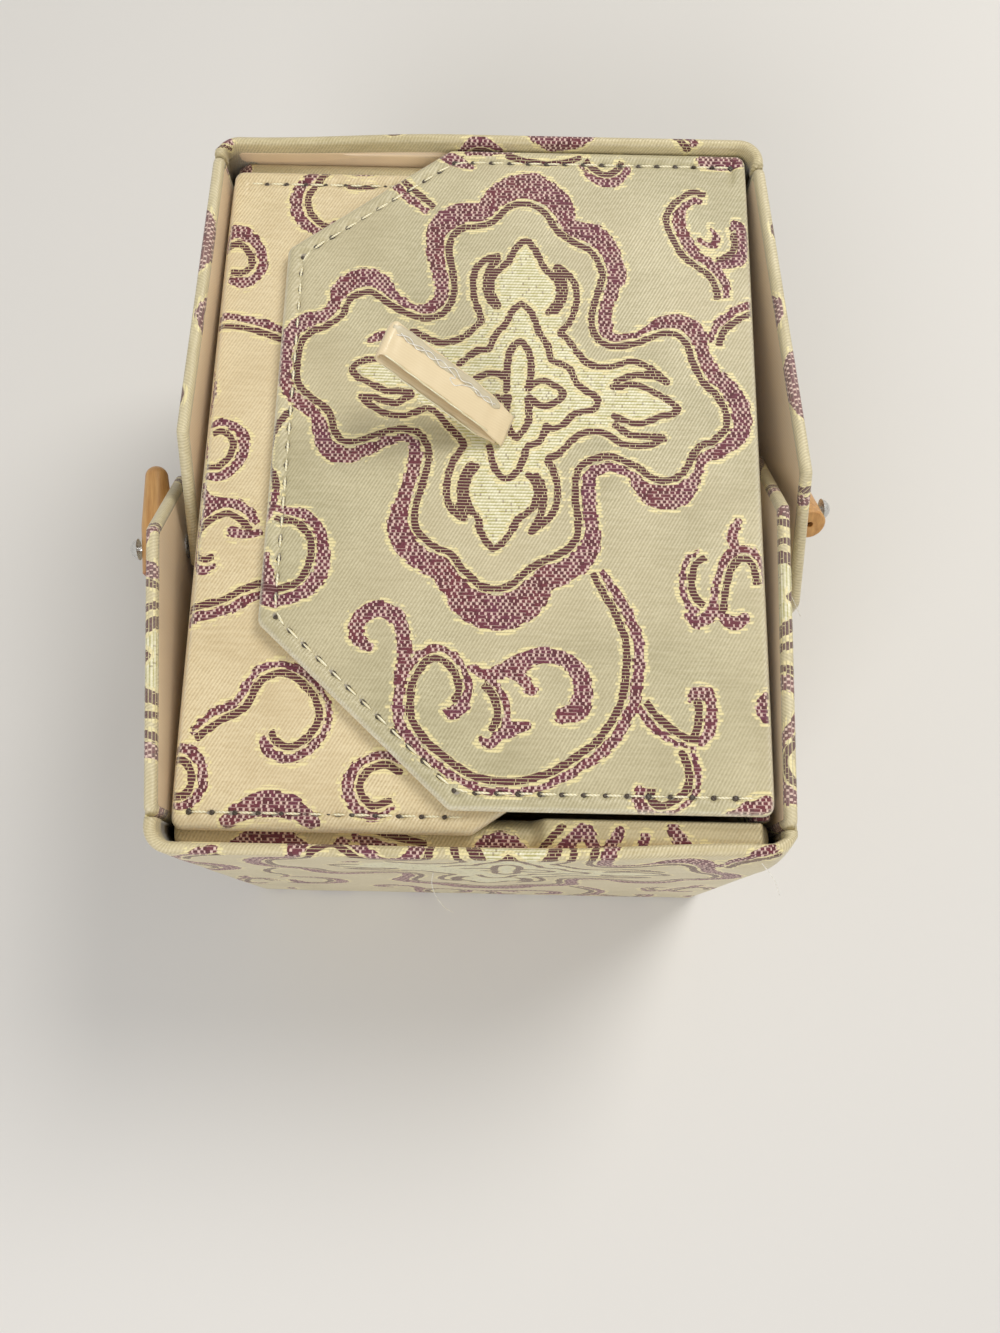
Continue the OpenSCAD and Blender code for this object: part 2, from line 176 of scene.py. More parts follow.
# %% Camera
CAMERA_AT = Vector((4.46, -91.77, 276.3)) * MM
TILT, ROLL = 0.269, 0.021
FOCAL_PIXELS, TALL_PIXELS, SENSOR = 1092.12, 1333, 36.0


def add_object(name, data):
    thing = bpy.data.objects.new(name, data)
    scene.collection.objects.link(thing)
    return thing


def aim_camera():
    down = Vector((0, math.sin(TILT), -math.cos(TILT)))
    right, up = Vector((1, 0, 0)), Vector((0, math.cos(TILT), math.sin(TILT)))
    turned = math.cos(ROLL) * right + math.sin(ROLL) * up
    upright = -math.sin(ROLL) * right + math.cos(ROLL) * up
    data = bpy.data.cameras.new("camera")
    data.sensor_width = SENSOR
    data.lens = SENSOR * FOCAL_PIXELS / TALL_PIXELS
    data.clip_start, data.clip_end = 0.01, 20
    scene.camera = add_object("camera", data)
    axes = Matrix((turned, upright, -down)).transposed()
    scene.camera.matrix_world = Matrix.Translation(CAMERA_AT) @ axes.to_4x4()
    return data.lens


print("lens", round(aim_camera(), 2), "mm")

# %% Light and floor
scene.view_settings.view_transform = "Standard"
WORLD_LEVEL, KEY_WATTS, FILL_WATTS = 0.43, 4.9, 3.4
BACKDROP, FLOOR_PAINT = tone(226, 223, 216), tone(222, 220, 216)
FLOOR_HALF, FLOOR_LEVEL = 30.0, -0.0004
FADE_FROM, FADE_TO = 0.30, 0.95


def add_lamp(name, at, target, size, watts, colour):
    data = bpy.data.lights.new(name, "AREA")
    data.shape, data.size, data.energy = "DISK", size, watts
    data.color = colour
    lamp = add_object(name, data)
    lamp.location = at
    lamp.rotation_euler = (Vector(target) - Vector(at)).to_track_quat("-Z", "Y").to_euler()


def show_backdrop(tree, lit, backdrop, result, share=None):
    """Swaps in the backdrop where the picture looks straight, in a mirror or through glass."""
    ray = tree.nodes.new("ShaderNodeLightPath").outputs
    seen = most(most(ray["Is Camera Ray"], ray["Is Glossy Ray"]), ray["Is Transmission Ray"])
    inputs = {0: seen if share is None else times(share, seen), 1: lit.outputs[0],
              2: backdrop.outputs[0]}
    mix = add_node(tree, "ShaderNodeMixShader", inputs)
    feed(mix.outputs[0], tree.nodes[result].inputs["Surface"])


def add_world():
    world = bpy.data.worlds.new("world")
    world.use_nodes = True
    tree = world.node_tree
    light = tree.nodes["Background"]
    fill(light, {"Color": (1.0, 0.985, 0.96, 1), "Strength": WORLD_LEVEL})
    backdrop = add_node(tree, "ShaderNodeBackground", {"Color": BACKDROP})
    show_backdrop(tree, light, backdrop, "World Output")
    scene.world = world


def make_floor():
    mesh = bpy.data.meshes.new("floor")
    corners = [(x * FLOOR_HALF, y * FLOOR_HALF, FLOOR_LEVEL)
               for x, y in ((-1, -1), (1, -1), (1, 1), (-1, 1))]
    mesh.from_pydata(corners, [], [(0, 1, 2, 3)])
    floor = add_object("floor", mesh)
    paint = {"Base Color": FLOOR_PAINT, "Roughness": 0.8}
    material, tree, shader = new_material("floor_paint", paint)
    # Far from the box the floor turns into the backdrop, so no horizon shows
    distance = on_vectors("LENGTH", {0: object_place(tree)}, "Value")
    inputs = {"Value": distance, "From Min": FADE_FROM, "From Max": FADE_TO}
    far = add_node(tree, "ShaderNodeMapRange", inputs, interpolation_type="SMOOTHSTEP")
    glow = add_node(tree, "ShaderNodeEmission", {"Color": BACKDROP})
    show_backdrop(tree, shader, glow, "Material Output", far.outputs["Result"])
    mesh.materials.append(material)


add_world()
add_lamp("key_lamp", (0.42, 0.38, 0.80), (0, 0, 0.08), 0.45, KEY_WATTS, (1.0, 0.97, 0.92))
add_lamp("fill_lamp", (-0.22, -0.72, 0.58), (0, -0.04, 0.08), 0.5, FILL_WATTS, (0.99, 0.98, 1.0))
make_floor()
print("world level", WORLD_LEVEL)

# %% [markdown]
# ## The brocade's figure
# The cloth carries a traditional figure: a cross-shaped blossom inside a lobed ring, with cloud
# scrolls around it. It could be painted as an image, but an image blurs when it is enlarged and
# doesn't know where a thread ends. Here each band is a curve with a width, in millimetres of
# cloth. For every vertex the script stores how far it is from the nearest band, and the material
# turns these distances into rows of coloured weft.

# %% The curves of the figure
RING = [
    (0.5, 54.5, 4.2), (3, 57.5, 5), (5, 58.8, 5.8), (8, 59.2, 6.8), (11, 58, 5.8), (13, 56, 5),
    (15, 52.5, 3.6), (18, 50.3, 4.8), (20.5, 49, 5), (22.6, 46.8, 4.4), (24.2, 42.5, 3.9),
    (23.8, 40, 3.2), (23, 37, 3), (22.2, 34, 3), (22, 31, 3.3), (22.7, 28.5, 3.2), (24.5, 27, 2.6),
    (27, 27, 2), (30, 27.8, 1.5), (32.5, 29, 2), (35, 30, 2.8), (38, 29.8, 3.8), (40, 28, 4),
    (41, 26, 3.2), (41.7, 23, 3.2), (43.5, 19, 3.5), (45.5, 17, 3.8), (47, 14.5, 4), (47.8, 12, 4.1),
    (47.8, 9, 3.8), (46.5, 7, 3.4), (44.5, 5.2, 3), (42.5, 4.3, 2.8), (41, 2.5, 2.3), (40, 0, 2.3),
    (38.5, -1.8, 3.6), (36.5, -3, 4.8), (34, -3.3, 5), (31.5, -2.3, 3.6), (29.5, -0.6, 2.2),
    (27, 0.7, 2.2), (24.5, 1.6, 2.5), (22, 1, 2.6), (20, 0, 2.8), (19, -2, 3), (18.8, -5, 3),
    (19, -8, 3), (19.4, -11, 3), (19.2, -14, 3.6), (18, -16.3, 4.6), (15.5, -18.5, 4.8),
    (12.5, -19.8, 4.8), (10.5, -21, 5), (8.5, -23, 6), (6, -25, 7), (3, -25.6, 7.2), (0, -25, 6.2),
    (-2, -23, 5), (-4, -21, 4.8), (-5.5, -18.8, 4.6), (-8, -17.8, 4.6), (-10.5, -16, 4.6),
    (-12.5, -13.5, 4.5), (-13, -10.5, 4), (-12.5, -7, 2.9), (-11.5, -3, 2.9), (-10.8, 1, 3),
    (-11.3, 4, 2.6), (-13, 6, 2), (-16, 6.3, 1.9), (-19, 5.5, 2.2), (-22, 4.2, 2.7),
    (-25, 3.5, 3.4), (-27.5, 4.2, 4), (-29, 6.5, 3.2), (-29.7, 9, 2.9), (-31, 11, 2.7),
    (-33.5, 13, 2.6), (-36, 15.3, 2.6), (-37, 18, 3), (-37.1, 22, 3.4), (-36.5, 26, 3.6),
    (-34.5, 28.5, 3.6), (-31.5, 30, 3), (-29, 32, 2.6), (-28.3, 34, 2.8), (-27, 36.5, 4),
    (-24.5, 37.8, 4.8), (-22, 37.8, 4), (-19.5, 36, 2.6), (-17, 34.3, 1.9), (-14.5, 33, 1.9),
    (-12, 32.3, 2.4), (-9.5, 32.8, 3), (-7.7, 35, 3), (-7, 38, 3), (-7.5, 42, 3.2),
    (-8.3, 46, 3.6), (-8.3, 49, 4), (-7.3, 51.5, 5), (-5, 53.2, 5), (-2, 53.8, 4.6), (0.5, 54.5, 4.2),
]
UPPER_SCROLLS = [
    [(22, -21, 1.6), (24, -25, 2), (25.8, -28, 2.2), (27, -31, 2.3), (28, -34, 2.4),
     (28.2, -38, 2.4), (27.8, -42, 2.4), (27, -46, 2.3), (25, -50, 2.3), (22.5, -53.5, 2.2),
     (20, -55.5, 2), (16.5, -58, 1.8), (13, -59.8, 1.6), (9, -61, 1.6), (4, -61.2, 1.6),
     (0, -60.3, 1.6), (-3, -58.7, 1.7), (-6, -56.5, 1.8), (-8.5, -54.5, 2), (-10.5, -52, 2.1),
     (-12, -49.5, 2.3), (-12.3, -46, 2.3), (-12, -43, 2), (-11, -40.5, 1.8), (-9.5, -38.3, 1.6),
     (-7.5, -37.3, 1.7), (-5.5, -37.8, 1.7), (-3.5, -39.5, 1.6), (-2.3, -42, 1.6),
     (-2, -44.5, 1.8), (-3, -46.5, 2)],
    [(2.3, -42.3, 1.2), (4.2, -44.8, 1.3), (5, -47.5, 1.5), (4.8, -50, 1.6), (3.8, -51.8, 1.6)],
    [(39.5, -53.2, 1.2), (37.5, -52.7, 1.3), (34.5, -51, 1.6), (32, -48.7, 1.8), (30, -46, 1.5)],
    [(39.8, -44.4, 1.2), (41, -45.3, 2), (40.9, -48, 2.4), (40.5, -50.5, 2.2), (39.3, -52.8, 1.6)],
    [(37.6, -54, 1), (38.4, -56, 1.2), (38.9, -58.5, 1.2), (38.6, -61, 1.2), (37, -63, 1.2),
     (34.5, -64.6, 1.1), (32, -64.8, 1), (30.4, -63, 1.2), (30.6, -61, 1)],
    [(44, 60.5, 1.4), (41.7, 61, 1.6), (39, 59, 2.2), (37.4, 56.5, 2.8), (37.3, 54, 3),
     (38.6, 50.5, 2.8), (40.3, 47.3, 2.6), (43, 45, 2.4), (45.3, 43, 2.3), (46.6, 40.5, 2.1),
     (47.1, 37.5, 1.6)],
    [(45.2, 27, 1.2), (46.3, 30.2, 1.8), (48.6, 32.6, 2), (51, 34.2, 1.9), (53.5, 35.3, 1.8)],
    [(28.2, 68.8, 1), (27, 66.5, 2), (25, 65.2, 2.4), (22.8, 65.4, 2.2), (20.8, 66.8, 1.6),
     (19.2, 68.8, 1)],
    [(-11.5, 56.6, 1.4), (-14, 59, 2), (-17, 61.8, 2), (-19.5, 64.5, 1.6)],
    [(41, -27.8, 1.6), (39.5, -26.5, 1.6), (38.6, -24, 1.6), (38.7, -21, 1.5), (39.6, -18.5, 1.3),
     (41.5, -17, 0.9)],
    [(44.2, -28.3, 2.2), (44.6, -25, 1.7), (45.2, -22, 1.6), (46.3, -19, 1.6), (48, -17.3, 1.8),
     (50, -17, 1.8), (51.7, -19, 1.4), (52.4, -22.5, 1)],
    [(-38, -10.8, 1.6), (-34.5, -11.4, 2), (-32, -13, 2.2), (-30.5, -15.5, 2.3),
     (-30.1, -18.5, 2.8), (-30.6, -21.5, 3.2), (-32, -24.2, 3), (-34.5, -25.9, 2.4),
     (-38, -26.6, 2.4), (-40.5, -25, 2.2)],
]
UPPER_STROKES = [
    [(-1.5, -44.5, 0.8), (-2, -47, 1.2), (-4, -48.3, 1), (-5.5, -47.8, 0.4)],
    [(-19.3, -36.3, 0.9), (-21.3, -35, 1.3), (-21.8, -32.5, 1.5), (-20.2, -30, 1.5),
     (-17.5, -29, 1.5), (-15, -30.2, 1.5), (-13.5, -33, 1.3), (-12.8, -36.5, 1.3),
     (-13.2, -40, 1.1), (-13.6, -43, 0.9)],
    [(-0.5, -40, 0.9), (2, -41, 1), (5, -40.3, 1.4), (8, -38.8, 1.7), (11, -37.5, 1.5),
     (14, -37.3, 1.4), (17, -38.6, 1.5), (19, -41.2, 1.6), (19.4, -44.5, 1.8), (18.3, -47.3, 1.9),
     (16, -48.3, 1.6)],
    [(6, -40.8, 1), (8.5, -41.8, 1.2), (10.2, -43.8, 1.1)],
    [(9.3, -50.5, 0.9), (7, -51, 1.2), (5, -52, 1.1), (3, -53.8, 1), (1.5, -53, 0.5)],
    [(38.6, -45, 0.5), (39.8, -43.6, 1.1), (41.3, -43.5, 1.2), (42.3, -45, 1)],
    [(29.3, -61.3, 0.6), (29, -63.3, 1), (30, -65.3, 0.8)],
    [(45.3, 53.5, 0.5), (46.3, 51.5, 0.7), (45.5, 49.5, 0.9), (43.8, 50, 0.7), (43, 51, 0.4)],
    [(46.5, 45, 0.9), (49, 45.3, 1.2), (51.2, 47, 1.3), (51.9, 49.8, 1.2), (51.6, 52.5, 1.2),
     (50.5, 54.6, 1), (49.5, 53, 0.4)],
    [(38.8, -29.3, 0.8), (40.5, -30.3, 1.3), (42.5, -29, 1.2), (43.5, -27.5, 0.8)],
    [(44.8, -29, 0.9), (47, -30.3, 1.4), (49, -29.3, 0.9)],
    [(47.5, -15.5, 1), (47.3, -13, 1.1), (48.6, -10.3, 0.6)],
    [(52.3, -43.8, 0.6), (51.4, -46, 1.1), (52, -48.6, 0.6)],
    [(45.5, -66, 1.2), (48.5, -64.5, 1.5), (51.5, -63.5, 1.6)],
    [(-39.5, -19, 0.8), (-39, -22.5, 1.4), (-38, -26, 1.5), (-37, -28.5, 0.8)],
    [(-40.5, -12.5, 0.5), (-38.8, -9.5, 0.8), (-38.5, -6, 0.6)],
    [(-9.5, 69.8, 1.2), (-7, 68.5, 1.3), (-3.5, 67.3, 0.7)],
    [(-4, 71, 1.2), (0.5, 71.5, 1.6), (4.5, 72, 1.4)],
    [(44.5, 69.8, 1.6), (48, 69.4, 1.8), (51.5, 69.8, 1.4)],
    [(-22.5, 26.3, 0.5), (-20.8, 27, 1), (-19.8, 28, 0.6)],
]
UPPER_LINES = [
    [(2.6, 34.6), (1.4, 37), (1.1, 39.5), (1.7, 41.8), (3.2, 43.3), (4.5, 44.8), (5.3, 46.8),
     (6.5, 48.6), (8, 49.7), (9.5, 48), (10.7, 45.5), (11.8, 43.3), (14, 40.8), (14.7, 38),
     (14.1, 35.5), (12.5, 33.3)],
    [(2.2, 45.9), (0, 45.2), (-1.8, 43.3), (-2.5, 40.5), (-2.3, 37), (-1.5, 34), (-0.6, 31.3),
     (-2, 29.5), (-3.8, 27.6), (-6, 26.4), (-8.5, 26), (-11, 27), (-14, 28.6)],
    [(2.4, 45.2), (0.9, 43.3), (0.2, 41), (0.1, 38.5), (0.8, 36), (2, 34.6)],
    [(14.2, 43.8), (16.2, 42.3), (17.7, 40), (18.2, 37), (17.7, 33.8), (16.6, 31), (15, 29),
     (16.7, 27), (18.2, 24.8), (19.5, 22.8), (21.5, 21.7), (24, 21.4), (26.3, 22), (28.7, 22.8),
     (31, 22.3), (33, 21), (34.6, 19.6), (35.6, 18.4)],
    [(14.3, 43), (15.4, 41), (15.8, 38.5), (15.3, 36), (14, 33.6)],
    [(7.2, 35.3), (5.4, 33.5), (4.4, 31), (3, 29), (1.8, 27.3), (1, 25), (-1, 24.6), (-3, 23),
     (-4.7, 21.5)],
    [(7.2, 35.3), (9, 33.5), (10.1, 31), (10.8, 28.7), (12, 27), (12.8, 24.8), (13.2, 22.8),
     (15, 22), (16.8, 21), (17.6, 19), (18.7, 17.2), (20.3, 16), (21.9, 15), (22.2, 13.3),
     (21, 12), (18.7, 11.6), (17.2, 10.6), (15.7, 9), (13.7, 7.9), (12.3, 8.5), (11.8, 6.5),
     (10.7, 5), (8.9, 4.2), (8.3, 2.3), (7.5, 0), (6.7, -1.5), (5, -2.6), (3.3, -1.6),
     (2.3, 0.3), (1.9, 2.3), (1.6, 4)],
    [(4.6, 16), (4.7, 19), (4.7, 22), (5.4, 25), (7, 26.8), (8.6, 25), (9.3, 22), (9.2, 19),
     (8.8, 16.5)],
    [(5, 14.5), (4.7, 12), (4.8, 9.5), (5.6, 7.2), (6.6, 6), (8, 7.5), (8.9, 9.5), (9, 12),
     (8.8, 14.5)],
    [(9.2, 17.2), (11, 18.1), (13.5, 17.5), (15.5, 15.8), (15, 14.3), (12.5, 12.8), (10.6, 13.2),
     (9.2, 14.6)],
    [(4.6, 18.3), (3, 19.5), (1, 19.6), (-1.2, 18.6)],
    [(4.6, 14.2), (3.4, 14.1), (2.6, 14.6)],
    [(25.3, 17.3), (26.7, 17.2), (28.3, 17.8), (30, 17.6), (32, 16.8), (34, 15.6), (36, 14.5),
     (37.7, 12.8), (36.5, 11.6), (34, 11), (32, 10), (30, 9.4), (27.5, 10), (25.3, 10.9)],
    [(26, 18.4), (27.8, 19.3), (30, 19.9), (33, 19.6), (35.6, 18.6)],
    [(25.6, 9), (27.3, 7.7), (29, 6.9), (31.5, 6.8), (34.8, 6.5)],
    [(34.8, 6.2), (32, 4.9), (29, 4.8), (27, 5.1), (25.3, 6.2), (23.5, 7.2), (21.5, 7.5),
     (19, 6.9), (17.5, 5.8), (16, 4), (14.3, 2.3), (12.7, 1.7), (13.6, -0.5), (14.4, -3),
     (14.6, -5.5), (14.2, -8.2), (13, -10.6), (11.5, -12), (9.8, -13.2)],
    [(9, -1.8), (10.3, -3.3), (10.8, -5.5), (10.3, -7.8), (9, -9.5), (7.3, -10.8), (6.2, -13),
     (5, -15), (2.9, -16.8), (1.3, -15.3), (0.1, -13), (-0.2, -11), (-1.6, -9), (-2.5, -6.8),
     (-2.7, -4.3), (-2, -2), (-0.8, -0.2)],
    [(10.6, -2), (11.7, -3.8), (12, -6.3), (11.8, -9), (11, -11), (10.3, -12.6)],
    [(-1.8, 0.2), (-3, -1.7), (-3.7, -4.5), (-3.6, -7.3), (-3, -10.4)],
    [(-3.4, 3.6), (-4.5, 2.2), (-5.5, 0), (-6.2, -3), (-6.3, -6), (-5.5, -8.5), (-4.2, -10.2),
     (-2.7, -11.1)],
    [(-20.5, 22.4), (-23, 21.8), (-25.3, 20.4), (-24.7, 18.4), (-22.2, 17), (-20, 16),
     (-18, 15.3), (-16, 15.5), (-14, 15.2)],
    [(-23.3, 13.9), (-21, 13.9), (-19, 13.1), (-16.7, 12.8), (-15, 13.8), (-13.7, 14.5)],
    [(-22.7, 13.2), (-20.6, 11.6), (-18, 10.3), (-15, 10.1), (-12.5, 11), (-10.3, 11.8),
     (-8, 10), (-6, 7.5), (-4, 5.5), (-3.3, 4)],
    [(-37.3, 10.3), (-38.7, 8.3), (-40, 5.5), (-40.6, 2), (-40.2, -1), (-39, -3), (-38.3, -5.5)],
    [(4, 70), (8, 68.9), (12, 68.5), (16, 69), (18.5, 69.7)],
    [(49.8, 52), (50, 49.5), (49, 47.5), (46.8, 46.2)],
]
UPPER_GOLD = [
    [(2.6, 34.6), (1.4, 37), (1.1, 39.5), (1.7, 41.8), (3.2, 43.3), (5.3, 46.8), (8, 49.7),
     (10.7, 45.5), (14, 40.8), (14.7, 38), (14.1, 35.5), (12.5, 33.3)],
    [(25.3, 17.3), (28.3, 17.8), (32, 16.8), (37.7, 12.8), (34, 11), (30, 9.4), (25.3, 10.9)],
    [(9, -1.8), (10.3, -3.3), (10.8, -5.5), (9, -9.5), (6.2, -13), (2.9, -16.8), (0.1, -13),
     (-2.5, -6.8), (-2, -2), (-0.8, -0.2)],
    [(-0.6, 31.3), (1, 34.5), (3, 34.6), (7, 36), (12, 34), (15, 33.5), (15.5, 30), (15, 29),
     (18.2, 24.8), (21.5, 21.7), (26, 22), (30, 22), (27, 19), (25.3, 17.3), (25, 14),
     (25.3, 10.9), (25.6, 9), (29, 6), (25.3, 6.2), (21.5, 7.5), (17.5, 5.8), (12.7, 1.7),
     (13.5, -1), (11, -2), (9, -1.8), (4, -2), (-0.8, -0.2), (-3.5, 0), (-5.5, 0), (-4.5, 2.2),
     (-3.3, 4), (-6, 7.5), (-10.3, 11.8), (-14, 14.5), (-14, 16), (-20, 16), (-25, 20),
     (-23, 22), (-14, 28.6), (-8.5, 26), (-3.8, 27.6)],
]
LOWER_SCROLLS = [
    [(-32.8, 53.1, 1.4), (-35.1, 54.5, 2.4), (-37.1, 56.7, 2.8), (-38, 59.2, 2.8),
     (-37.9, 62.2, 2.7), (-36.1, 65.3, 2.4), (-34.2, 68.1, 2)],
    [(-55.2, 47.3, 2), (-53.3, 49.4, 3), (-51.3, 50.6, 3.6), (-49.1, 49.9, 2.8), (-47.6, 48, 2.6),
     (-46.7, 45.5, 2.3), (-47.4, 43.3, 2.3), (-49.4, 42, 2.8), (-51.8, 42.2, 1.5)],
    [(-55.9, 31.2, 1.8), (-50.8, 31.5, 2), (-46.7, 30.8, 2), (-43.7, 30, 2), (-38.6, 28, 2)],
    [(-49.4, -19.2, 1), (-51.3, -20, 2), (-53.9, -18.7, 2), (-54.6, -15.4, 1.4),
     (-53.3, -12.3, 1.6), (-50.8, -10, 2.2), (-47.8, -8.8, 2.4), (-44.7, -10.3, 2.4),
     (-42.7, -12.3, 1.6)],
    [(-38.6, -23.8, 2), (-43.2, -25.6, 2.2), (-46.7, -27.7, 2.3), (-50.8, -28.9, 2.4),
     (-56.4, -30.4, 2.4)],
    [(-50.3, -52.6, 1.2), (-47.8, -50.4, 1.7), (-45.2, -48.6, 1.8), (-42.7, -47.4, 1.7),
     (-41.3, -45.3, 1.7), (-40.3, -42.8, 1.7), (-38.4, -40.9, 1.8), (-35.6, -40, 1.6),
     (-32.5, -40.9, 1.5), (-29.5, -43.3, 1.5), (-27.5, -46.3, 1.4), (-27.1, -49.4, 1.5),
     (-28.5, -52.4, 1.7), (-31, -54.7, 2), (-33.6, -55.3, 2.2), (-36.1, -54, 2.2), (-37.2, -52, 1)],
    [(-55.7, -56.5, 1.8), (-52.3, -56.3, 2.1), (-50.1, -57.5, 2.2), (-49.1, -59.8, 2),
     (-49.2, -62.4, 2), (-50.8, -64.4, 1.8), (-53.3, -64.6, 1.2)],
    [(-13.8, -64.4, 1), (-17.3, -65.6, 1.8), (-19.7, -64.1, 2.2), (-20.8, -61.6, 2.4),
     (-20.2, -59, 2.2), (-18.3, -57.2, 1.8), (-15.3, -56.5, 1.4), (-12.2, -58, 1)],
    [(-52.4, 7.7, 1), (-50.9, 8.3, 1.8), (-49.2, 7.9, 2.2), (-47.9, 6.6, 2.3), (-47.1, 4.8, 2.3),
     (-47.4, 2.7, 2.3), (-48.5, 0.7, 2.3), (-50.1, -0.7, 2.2), (-51.9, -1.1, 1.8), (-53.8, -0.7, 1.2)],
]
LOWER_STROKES = [
    [(-32.5, 52.9, 0.8), (-31.2, 54.4, 1.3), (-28.8, 54.4, 0.6)],
    [(-29.3, 68.1, 1), (-26.5, 68.3, 1.8), (-24.2, 68.1, 1)],
    [(-55.4, 20.5, 0.5), (-54.2, 19.1, 0.9), (-53.6, 17.2, 1.2), (-53.6, 15.1, 1.2), (-54.2, 13.1, 1),
     (-55.2, 11.3, 0.5)],
    [(-55.8, 4.9, 0.6), (-54.7, 3.4, 0.9), (-54, 1.5, 0.9), (-53.6, 0.1, 0.6)],
    [(-54.3, -3.2, 1), (-52.3, -6.8, 1.3), (-49.3, -7.4, 1)],
    [(-46.7, -13.4, 1), (-44.2, -13.9, 1), (-41.7, -13.5, 0.7)],
    [(-43, -67.8, 1.4), (-39.5, -65.6, 2), (-35.6, -64.6, 2.3), (-31.5, -65.4, 2), (-28, -67.8, 1.4)],
]
LOWER_LINES = [
    [(-29, 64.1), (-26.5, 63.8), (-24.2, 64.3)],
    [(-55.4, -3.7), (-54.4, -7.8), (-54.9, -11.8)],
]
print(len(UPPER_SCROLLS) + len(LOWER_SCROLLS), "scrolls")

# %% [markdown]
# A curve through listed points needs to be smooth, so each list is turned into a Catmull-Rom
# curve. The distance from a point to it has a sign: the scroll's thick plum band lies on the left
# of its white spine, and a thin line of comb stitches on the right.

# %% Distances to the figure
SPINE, LINE_W, FAR = 0.27, 1.2, 9.0


def smooth_curve(points, closed=False, pieces=5):
    points = np.array(points, float)
    if closed:
        around = np.vstack([points[-2], points, points[1]])
    else:
        around = np.vstack([2 * points[0] - points[1], points, 2 * points[-1] - points[-2]])
    t = np.linspace(0, 1, pieces, endpoint=False)[:, None]
    runs = []
    for a, b, c, d in zip(around, around[1:], around[2:], around[3:]):
        runs.append(0.5 * (2 * b + (c - a) * t + (2 * a - 5 * b + 4 * c - d) * t ** 2
                           + (3 * b - a - 3 * c + d) * t ** 3))
    return np.vstack(runs + [points[-1:]])


def to_curve(plan, curve, closed=False):
    """Signed side distance, local width and how far past an end, for each point of the plan."""
    start, run = curve[:-1, :2], np.diff(curve[:, :2], axis=0)
    length = np.maximum(np.hypot(run[:, 0], run[:, 1]), 1e-9)
    best = np.full(len(plan), 1e9)
    side, width, past = np.full(len(plan), FAR), np.zeros(len(plan)), np.zeros(len(plan))
    for i in range(len(start)):
        if i % 8 == 0:
            piece = curve[i:i + 9, :2]
            near_piece = (plan > piece.min(0) - FAR) & (plan < piece.max(0) + FAR)
            at = np.flatnonzero(np.all(near_piece, axis=1))
            part = plan[at]
        offset = part - start[i]
        along = (offset @ run[i]) / length[i]
        across = (run[i, 0] * offset[:, 1] - run[i, 1] * offset[:, 0]) / length[i]
        over = along - np.clip(along, 0, length[i])
        gap = np.hypot(over, across)
        near = gap < best[at]
        spot = at[near]
        best[spot] = gap[near]
        if curve.shape[1] > 2:
            share = np.clip(along[near] / length[i], 0, 1)
            width[spot] = curve[i, 2] + (curve[i + 1, 2] - curve[i, 2]) * share
        first, last = i == 0 and not closed, i == len(start) - 1 and not closed
        beyond = np.where(first & (over < 0) | last & (over > 0), np.abs(over), 0)
        side[spot] = np.where(beyond > 0, across, np.sign(across) * gap)[near]
        past[spot] = beyond[near]
    return side, width, past


def cut_ends(distance, past):
    return np.where(past > 0, np.maximum(distance, past), distance)


def to_polygon(plan, polygon):
    """Signed distance to a filled outline, negative inside."""
    corners = np.array(polygon, float)
    nearest, inside = np.full(len(plan), 1e9), np.zeros(len(plan), bool)
    for a, b in zip(corners, np.roll(corners, -1, axis=0)):
        run, offset = b - a, plan - a
        share = np.clip((offset @ run) / max(run @ run, 1e-9), 0, 1)
        nearest = np.minimum(nearest, np.linalg.norm(offset - share[:, None] * run, axis=1))
        crosses = (a[1] > plan[:, 1]) != (b[1] > plan[:, 1])
        level = b[1] - a[1] if abs(b[1] - a[1]) > 1e-9 else 1e-9
        inside ^= crosses & (plan[:, 0] < a[0] + (plan[:, 1] - a[1]) * (b[0] - a[0]) / level)
    return np.where(inside, -nearest, nearest)


def only_near(plan, points):
    points = np.array([p[:2] for p in points], float)
    low, high = points.min(0) - FAR, points.max(0) + FAR
    return np.all((plan > low) & (plan < high), axis=1)


def figure_of(plan, rings, scrolls, strokes, lines, golds):
    """Distances in millimetres from each point of the cloth to plum, comb line and gold."""
    plum, line, gold = (np.full(len(plan), FAR) for _ in range(3))
    for points, closed in [(r, True) for r in rings] + [(s, False) for s in scrolls]:
        at = only_near(plan, points)
        side, width, past = to_curve(plan[at], smooth_curve(points, closed), closed)
        plum[at] = np.minimum(plum[at], cut_ends(np.maximum(SPINE - side, side - width), past))
        comb = np.maximum(side + SPINE, -side - SPINE - LINE_W)
        line[at] = np.minimum(line[at], cut_ends(comb, past))
    for points in strokes:
        at = only_near(plan, points)
        side, width, past = to_curve(plan[at], smooth_curve(points))
        plum[at] = np.minimum(plum[at], np.hypot(side, past) - width)
    for points in lines:
        at = only_near(plan, points)
        side, _, past = to_curve(plan[at], smooth_curve(points))
        line[at] = np.minimum(line[at], np.hypot(side, past) - LINE_W / 2)
    for outline in golds:
        at = only_near(plan, outline)
        gold[at] = np.minimum(gold[at], to_polygon(plan[at], outline))
    return plum, line, gold


def upper_figure(plan):
    return figure_of(plan, [RING], UPPER_SCROLLS, UPPER_STROKES, UPPER_LINES, UPPER_GOLD)


REPEAT, REPEAT_FROM = np.array([96.0, 138.0]), np.array([-42.0, -66.5])


